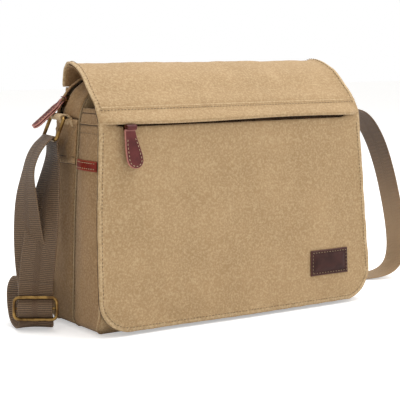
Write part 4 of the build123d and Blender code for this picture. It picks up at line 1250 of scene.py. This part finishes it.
def build_flap_pull():
    """The flap zip's teardrop of burgundy leather, folded over its bail and stitched."""
    hinge = Vector(HINGES["flap_pull_swing"]["pos_m"])
    low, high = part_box("flap_zip_pull")
    length = 0.044
    wide = (high[0] - low[0]) / 2

    def place(x, t, n):
        lean = 0.0055 * smooth_step(0.0, length, -t) - 0.0020
        return hinge + Vector((x + lean, 0, 0)) + FLAP_UP * t + FLAP_OUT * n

    shape = []
    for k in range(25):
        turn = radians(-180 + 180 * k / 24)
        shape.append((wide * 0.98 * cos(turn), -length + wide * 0.98 + wide * 0.98 * sin(turn)))
    shape += [(wide * 0.97, -length + 0.015), (wide * 0.86, -0.0200), (0.0070, -0.0110), (0.0064, -0.0060)]
    shape += [(0.0060, -0.0022), (-0.0060, -0.0022), (-0.0064, -0.0060), (-0.0070, -0.0110),
              (-wide * 0.86, -0.0200)]
    shape += [(-wide * 0.97, -length + 0.015)]
    drop = plate("Flap zip pull", "burgundy", shape, 0.0036, place, "flap_zip_pull")
    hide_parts("flap_zip_pull")
    grid = []
    for x in spread(-0.0056, 0.0056, 7):
        line = []
        for k in range(13):
            turn = radians(-95 + 290 * k / 12)
            spot = hinge + Vector((x, 0, 0))
            line.append(spot + FLAP_UP * (0.0022 * sin(turn)) + FLAP_OUT * (0.0022 * cos(turn)))
        line.append(place(x, -0.0055, 0.0017))
        grid.append(line)
    sheet("Flap zip pull head", "burgundy", grid, 0.0009, body="flap_zip_pull")
    row = [place(-0.0048, -0.0120, 0.0019), place(-wide * 0.64, -0.0200, 0.0019)]
    for k in range(31):
        turn = radians(-190 + 200 * k / 30)
        radius = wide * 0.98 - 0.0023
        row.append(place(radius * cos(turn), -length + wide * 0.98 + radius * sin(turn), 0.0019))
    row += [place(wide * 0.64, -0.0200, 0.0019), place(0.0048, -0.0120, 0.0019)]
    stitches("Stitches, flap pull", [(row, FLAP_OUT)], "pale_thread", "flap_zip_pull")


def build_main_pull():
    """The main zip's folded burgundy leather pull."""
    hinge = Vector(HINGES["main_pull_swing"]["pos_m"])
    way = Vector((-0.78, 0, -0.626)).normalized()
    out = way.cross(Vector((0, 1, 0)))
    length = 0.0475
    for number, side in ((0, 1), (1, -1)):
        def place(x, t, n):
            bend = 0.0012 * sin(pi * min(t / length, 1.0))
            gap = side * (0.00125 + 0.0006 * smooth_step(0.008, 0.0, t))
            return hinge + way * t + Vector((0, x, 0)) + out * (gap + n + bend)

        shape = [(-0.0021, 0.0015), (0.0021, 0.0015), (0.0024, 0.007), (0.0054, 0.0105), (0.0055, 0.040)]
        for k in range(9):
            turn = radians(180 * k / 8)
            shape.append((0.0055 * cos(turn), length - 0.0055 + 0.0055 * sin(turn)))
        shape += [(-0.0055, 0.040), (-0.0054, 0.0105), (-0.0024, 0.007)]
        ply = plate("Main zip pull, ply %d" % (number + 1), "burgundy", shape, 0.0017, place,
                    "main_zip_pull")
        if number == 0:
            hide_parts("main_zip_pull")
        rows = []
        for edge in (-0.0037, 0.0037):
            rows.append(([place(edge, t, 0.0010 * side) for t in spread(0.012, length - 0.005, 14)],
                         out * side))
        stitches("Stitches, main pull %d" % (number + 1), rows, "pale_thread", "main_zip_pull")
    grid = []
    for x in spread(-0.0020, 0.0020, 5):
        line = []
        for k in range(11):
            turn = radians(90 + 180 * k / 10)
            line.append(hinge + Vector((0, x, 0)) + way * (0.0024 * cos(turn)) + out * (0.0024 * sin(turn)))
        grid.append(line)
    sheet("Main zip pull head", "burgundy", grid, 0.0009, body="main_zip_pull",
          wear=[[0.8 if n in (0, 4) else 0.1] * 11 for n in range(5)])


def build_patch():
    """The plain leather patch on the flap, padded, with a pressed border and stitches."""
    low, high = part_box("leather_patch")
    middle = Vector([(a + b) / 2 for a, b in zip(low, high)])
    half_x = (high[0] - low[0]) / 2
    t_mid = (middle - FLAP_ORIGIN).dot(FLAP_UP)
    half_t = 0.0145
    grid, wear = [], []
    for i in range(31):
        t = t_mid - half_t + 2 * half_t * i / 30
        line, worn = [], []
        for x in spread(middle.x - half_x, middle.x + half_x, 57):
            edge = min(half_x - abs(x - middle.x), half_t - abs(t - t_mid))
            groove = -0.0006 * smooth_step(0.0009, 0.0, abs(edge - 0.0042))
            dome = 0.0009 * smooth_step(0.0042, 0.009, edge) + 0.0003 * smooth_step(0.0, 0.002, edge)
            line.append(on_flap(x, t, CLOTH_FACE + 0.0019 + groove + dome))
            worn.append(0.6 * smooth_step(0.0012, 0.0, edge))
        grid.append(line)
        wear.append(worn)
    patch = sheet("Leather patch", "patch", grid, 0.0018, body="flap_front", wear=wear)
    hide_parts("leather_patch")
    inset = 0.0023
    loop = []
    for x, t in ((-1, -1), (1, -1), (1, 1), (-1, 1), (-1, -1)):
        loop.append((middle.x + x * (half_x - inset), t_mid + t * (half_t - inset)))
    line = []
    for (ax, at), (bx, bt) in zip(loop, loop[1:]):
        line += [on_flap(ax + (bx - ax) * k / 20, at + (bt - at) * k / 20, 0.0053) for k in range(21)]
    stitches("Stitches, patch", [(line, FLAP_OUT)], "dark_thread", "flap_front")


def paint_hard(node, key):
    """A better finish on a hard CAD node that stays as it is."""
    thing = frame["nodes"][node]
    for slot in thing.material_slots:
        slot.material = finish_of(key)
    if not thing.material_slots:
        thing.data.materials.append(finish_of(key))


# ---------------------------------------------------------------- the strap

FACING = (0.83, -0.558, 0)
GLIDE_AT = Vector((-0.231, 0.010, 0.026))
GLIDE_ACROSS = Vector(FACING).normalized()
GLIDE_FACE = Vector((-0.558, -0.83, 0)).normalized()
GLIDE_BAR = 0.0122  # from the strap slider's middle to its outer bars
RING_DROP = 0.026  # from a ring's upper bar to its lower one
BAR_RADIUS = 0.0034
WEBBING_WIDTH = 0.038
WEBBING_THICKNESS = 0.0018


def ring_ways(side):
    """A ring's upper bar: its centre, the way along it, out of its plane and down it."""
    yaw, lean = radians(9.5), radians(22.6)
    along = Vector((sin(yaw) * -side, cos(yaw), 0))
    out = Vector((cos(yaw) * side, sin(yaw), 0))
    down = out * sin(lean) + Vector((0, 0, -cos(lean)))
    square = out * cos(lean) + Vector((0, 0, sin(lean)))
    centre = Vector(HINGES["ring_left_swing" if side < 0 else "ring_right_swing"]["pos_m"])
    return centre, along, square, down


def by_glide(out, rise, left=0.0, wide=FACING):
    """A station by the strap slider: out towards its face, up from its middle and off to its left."""
    return GLIDE_AT + GLIDE_FACE * out + Vector((0, 0, rise)) - GLIDE_ACROSS * left, Vector(wide)


def round_bar(centre, first, over, radius, wide):
    """Stations round a bar."""
    stations = []
    for n in range(7):
        turn = pi * n / 6
        stations.append((centre + first * (radius * cos(turn)) + over * (radius * sin(turn)), Vector(wide)))
    return stations


def at(x, y, z, wide):
    """A station from a point in metres and the strap's width direction."""
    return Vector((x, y, z)), Vector(wide)


def strap_route():
    """The stations of the left loop and of the long run: a centre point and the way of the strap's width."""
    centre, along, out, down = ring_ways(-1)
    wide = (-along.x, -along.y, 0)
    loop = [by_glide(*row) for row in ((-0.003, 0), (-0.0062, 0.009), (-0.0076, 0.019))]
    loop += [at(*row) for row in (
        (-0.2295, 0.021, 0.075, (0.7, -0.7, 0)), (-0.2315, 0.025, 0.110, (0.45, -0.89, 0)),
        (-0.231, 0.028, 0.145, (0.2, -0.98, 0)), (-0.228, 0.030, 0.172, wide), (-0.221, 0.031, 0.191, wide),
        (-0.2115, 0.0322, 0.203, wide),
    )]
    loop += round_bar(centre + down * RING_DROP, out, down * -1, BAR_RADIUS, wide)
    loop += [at(*row) for row in (
        (-0.198, 0.029, 0.193, wide), (-0.202, 0.025, 0.175, (0.05, -1, 0)),
        (-0.210, 0.020, 0.150, (0.3, -0.95, 0)),
        (-0.218, 0.0155, 0.120, (0.6, -0.8, 0)), (-0.226, 0.010, 0.085, (0.8, -0.6, 0)),
        (-0.2295, 0.0105, 0.055, FACING),
    )]
    run = [by_glide(*row) for row in (
        (-0.0034, GLIDE_BAR + 0.003), (-0.0034, GLIDE_BAR - 0.0015), (0.0048, 0.003), (0.0048, -0.003),
        (-0.0034, -GLIDE_BAR + 0.0015), (-0.0034, -GLIDE_BAR - 0.002), (-0.006, -0.020),
        (-0.012, -0.0226, 0.003),
        (-0.022, -0.0215, 0.008), (-0.032, -0.014, 0.015), (-0.038, 0.001, 0.018), (-0.042, 0.016, 0.0185),
        (-0.050, 0.025, 0.015), (-0.062, 0.022, 0.009), (-0.078, 0.006, 0.002),
        (-0.095, -0.012, -0.006, (0.75, -0.66, 0)),
    )]
    run += [at(*row) for row in (
        (-0.150, 0.103, 0.0018, (0.5, -0.87, 0)), (-0.105, 0.111, 0.0012, (0.2, -0.98, 0)),
        (-0.030, 0.112, 0.0012, (0, -1, 0)), (0.060, 0.110, 0.0012, (-0.08, -1, 0)),
        (0.140, 0.100, 0.0012, (-0.2, -0.98, 0)), (0.200, 0.082, 0.0012, (-0.35, -0.94, 0)),
        (0.250, 0.058, 0.0014, (-0.4, -0.92, 0)), (0.288, 0.040, 0.003, (-0.3, -0.95, 0)),
        (0.309, 0.033, 0.013, (-0.15, -0.99, 0)), (0.317, 0.031, 0.034, (-0.05, -1, 0)),
        (0.314, 0.030, 0.065, (0, -1, 0)), (0.305, 0.030, 0.104, (0, -1, 0)),
        (0.291, 0.030, 0.150, (0, -1, 0)),
        (0.273, 0.030, 0.190, (0.05, -1, 0)), (0.250, 0.030, 0.219, (0.1, -1, 0)),
        (0.228, 0.0305, 0.229, (0.15, -0.99, 0)), (0.214, 0.031, 0.225, (0.165, -0.986, 0)),
        (0.205, 0.0312, 0.218, (0.165, -0.986, 0)),
    )]
    centre, along, out, down = ring_ways(1)
    wide = (-along.x, -along.y, 0)
    run += round_bar(centre + down * RING_DROP, out, down * -1, BAR_RADIUS, wide)[4:]
    run += [at(0.200, 0.0305, 0.196, wide), at(0.207, 0.0305, 0.188, wide)]
    return loop, run


def squared(stations):
    """Each station with its width direction made square to the strap's way."""
    found = []
    for n, (point, wide) in enumerate(stations):
        way = (stations[min(n + 1, len(stations) - 1)][0] - stations[max(n - 1, 0)][0]).normalized()
        found.append((point, (wide - way * wide.dot(way)).normalized()))
    return found


def webbing_mesh(name, near, far):
    """The strap between two matching edge lines, with rounded selvedges."""
    profile = [(0.0, 0.0), (0.012, 0.8), (0.05, 1.0), (0.2, 0.92), (0.4, 0.92), (0.46, 1.0), (0.5, 0.86)]
    profile += [(1 - u, v) for u, v in reversed(profile[:-1])]
    section = profile + [(u, -v) for u, v in reversed(profile[1:-1])]
    count = len(section)
    points, uvs, faces = [], [], []
    along = 0.0
    for n, (a, b) in enumerate(zip(near, far)):
        middle = (a + b) / 2
        if n:
            along += (middle - (near[n - 1] + far[n - 1]) / 2).length
        before = (near[max(n - 1, 0)] + far[max(n - 1, 0)]) / 2
        after = (near[min(n + 1, len(near) - 1)] + far[min(n + 1, len(far) - 1)]) / 2
        wide = (b - a).normalized()
        up = wide.cross(after - before).normalized()
        for u, v in section:
            across = (u - 0.5) * WEBBING_WIDTH
            points.append(middle + wide * across + up * (v * WEBBING_THICKNESS / 2))
            uvs.append((u * WEBBING_WIDTH, along))
    rows = len(near)
    for n in range(rows - 1):
        for k in range(count):
            j = (k + 1) % count
            faces.append((n * count + k, n * count + j, (n + 1) * count + j, (n + 1) * count + k))
    faces += [tuple(range(count)), tuple((rows - 1) * count + k for k in reversed(range(count)))]
    return new_object(name, "webbing", points, faces, uvs, None, None)


def build_strap():
    """The shoulder strap: the loop through the left ring, then the long run to the right ring."""
    loop, run = strap_route()
    stations = squared(loop + run)
    half = WEBBING_WIDTH / 2
    near = spine_curve([p - w * half for p, w in stations], 10)
    far = spine_curve([p + w * half for p, w in stations], 10)
    middle = [(a + b) / 2 for a, b in zip(near, far)]
    joint_at = loop[-1][0]
    start = len(middle) // 8
    cut = min(range(start, len(middle)), key=lambda n: (middle[n] - joint_at).length)
    parts = (
        ("Strap, left loop", 0, cut + 1, "strap_left_loop", "ring_left", (-0.230, 0.02, 0.06),
         (-0.205, 0.031, 0.200)),
        ("Strap, long run", cut, len(middle), "strap_main", "ring_right", (0.310, 0.03, 0.06),
         (0.212, 0.031, 0.215)),
    )
    for name, first, last, node, ring, start_at, end_at in parts:
        piece = webbing_mesh(name, near[first:last], far[first:last])
        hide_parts(node)
        line = middle[first:last]
        length = sum((b - a).length for a, b in zip(line, line[1:]))
        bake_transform(piece)
        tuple(start_at)
        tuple(end_at)
        tuple(line[0])
        [tuple(p) for p in line]


# ---------------------------------------------------------------- studio


def build_studio():
    """Floor, lamps, even light and camera."""
    light = bpy.context.scene.bag_light
    world = bpy.data.worlds.new("Studio")
    bpy.context.scene.world = world
    world.use_nodes = True
    tree = world.node_tree
    tree.nodes.clear()
    out = tree.nodes.new("ShaderNodeOutputWorld")
    seen = add(tree, "ShaderNodeBackground", Color=(1, 1, 1, 1), Strength=1.0)
    even = add(tree, "ShaderNodeBackground", Color=(1, 0.985, 0.96, 1), Strength=light.sky)
    path = add(tree, "ShaderNodeLightPath")
    mix = add(tree, "ShaderNodeMixShader", _0=path.outputs["Is Camera Ray"], _1=even.outputs[0],
              _2=seen.outputs[0])
    tree.links.new(mix.outputs[0], out.inputs[0])

    material, tree, shader = new_material("Studio floor, white paper")
    shader.inputs["Base Color"].default_value = (0.9, 0.9, 0.9, 1)
    shader.inputs["Roughness"].default_value = 0.7
    shader.inputs["Emission Color"].default_value = (1, 1, 1, 1)
    path = add(tree, "ShaderNodeLightPath")
    tree.links.new(math(tree, "MULTIPLY", path.outputs["Is Camera Ray"], 0.42),
                   shader.inputs["Emission Strength"])
    mesh = bpy.data.meshes.new("Floor")
    work = bmesh.new()
    bmesh.ops.create_grid(work, x_segments=2, y_segments=2, size=6.0)
    work.to_mesh(mesh)
    work.free()
    mesh.materials.append(material)
    floor = bpy.data.objects.new("Floor", mesh)
    bpy.context.scene.collection.objects.link(floor)

    for name, power, size, place, aim in (
        ("Key", light.key, 1.6, (1.1, -1.3, 1.9), (0, 0, 0.12)),
        ("Top", light.key * 2.2, 1.8, (0.25, 0.1, 2.2), (0, 0, 0.1)),
        ("Fill", light.fill, 1.2, (-1.9, -0.8, 0.7), (0, 0, 0.12)),
        ("Side", light.fill * 3.0, 0.9, (1.9, -0.1, 0.8), (0.2, 0, 0.12)),
    ):
        data = bpy.data.lights.new(name, "AREA")
        data.energy = power
        data.size = size
        lamp = bpy.data.objects.new(name, data)
        lamp.location = place
        lamp.rotation_euler = (Vector(aim) - Vector(place)).to_track_quat("-Z", "Y").to_euler()
        bpy.context.scene.collection.objects.link(lamp)

    yaw, pitch, far = radians(34.0), radians(7.35), 1.443
    target = Vector((-0.022, 0.0, 0.131))
    way = Vector((sin(yaw) * cos(pitch), cos(yaw) * cos(pitch), -sin(pitch)))
    data = bpy.data.cameras.new("Camera")
    data.lens = 111.7
    data.sensor_width = 36.0
    camera = bpy.data.objects.new("Camera", data)
    camera.location = target - way * far
    camera.rotation_euler = way.to_track_quat("-Z", "Y").to_euler()
    bpy.context.scene.collection.objects.link(camera)
    bpy.context.scene.camera = camera
    bpy.context.scene.view_settings.view_transform = "Standard"


# ---------------------------------------------------------------- operators, panel and run


class BAG_OT_body(bpy.types.Operator):
    """Build the bag's canvas body, its linings and its side trim"""

    bl_idname = "bag.body"
    bl_label = "Build body"

    def execute(self, context):
        build_main_shell()
        build_zip_strips()
        build_front_shell()
        build_linings()
        build_side_trim()
        return {"FINISHED"}


class BAG_OT_flap(bpy.types.Operator):
    """Build the flap, its roll, zip, placket and patch"""

    bl_idname = "bag.flap"
    bl_label = "Build flap"

    def execute(self, context):
        build_flap_front()
        build_flap_roll()
        build_patch()
        return {"FINISHED"}


class BAG_OT_pulls(bpy.types.Operator):
    """Build the leather zip pulls and paint the metal parts"""

    bl_idname = "bag.pulls"
    bl_label = "Build pulls and metal"

    def execute(self, context):
        build_flap_pull()
        build_main_pull()
        for node in ("ring_left", "ring_right", "glide_frame", "glide_bar", "main_zip_slider",
                     "flap_zip_slider"):
            paint_hard(node, "brass")
        for node in ("snap_socket_left", "snap_socket_right", "snap_stud_left", "snap_stud_right"):
            paint_hard(node, "steel")
        return {"FINISHED"}


class BAG_OT_strap(bpy.types.Operator):
    """Build the webbing shoulder strap"""

    bl_idname = "bag.strap"
    bl_label = "Build strap"

    def execute(self, context):
        build_strap()
        return {"FINISHED"}


class BAG_OT_studio(bpy.types.Operator):
    """Build the floor, lamps and camera"""

    bl_idname = "bag.studio"
    bl_label = "Build studio"

    def execute(self, context):
        build_studio()
        return {"FINISHED"}


class BAG_PT_panel(bpy.types.Panel):
    """The bag's settings and build buttons"""

    bl_idname = "BAG_PT_panel"
    bl_label = "Messenger bag"
    bl_space_type = "VIEW_3D"
    bl_region_type = "UI"
    bl_category = "Bag"

    def draw(self, context):
        for group in (context.scene.bag_cloth, context.scene.bag_light):
            for name in group.bl_rna.properties.keys():
                if name not in ("rna_type", "name"):
                    self.layout.prop(group, name)
        for operator in ("bag.body", "bag.flap", "bag.pulls", "bag.strap", "bag.studio"):
            self.layout.operator(operator)


CLASSES = (BagCloth, BagLight, BAG_OT_body, BAG_OT_flap, BAG_OT_pulls, BAG_OT_strap, BAG_OT_studio,
           BAG_PT_panel)


def register():
    """Add the classes and the scene's settings."""
    for item in CLASSES:
        bpy.utils.register_class(item)
    bpy.types.Scene.bag_cloth = bpy.props.PointerProperty(type=BagCloth)
    bpy.types.Scene.bag_light = bpy.props.PointerProperty(type=BagLight)


def unregister():
    """Take them away again."""
    del bpy.types.Scene.bag_light
    del bpy.types.Scene.bag_cloth
    for item in reversed(CLASSES):
        bpy.utils.unregister_class(item)


def main():
    """Build everything."""
    register()
    bpy.ops.bag.body()
    bpy.ops.bag.flap()
    bpy.ops.bag.pulls()
    bpy.ops.bag.strap()
    bpy.ops.bag.studio()


if __name__ == "__main__":
    main()
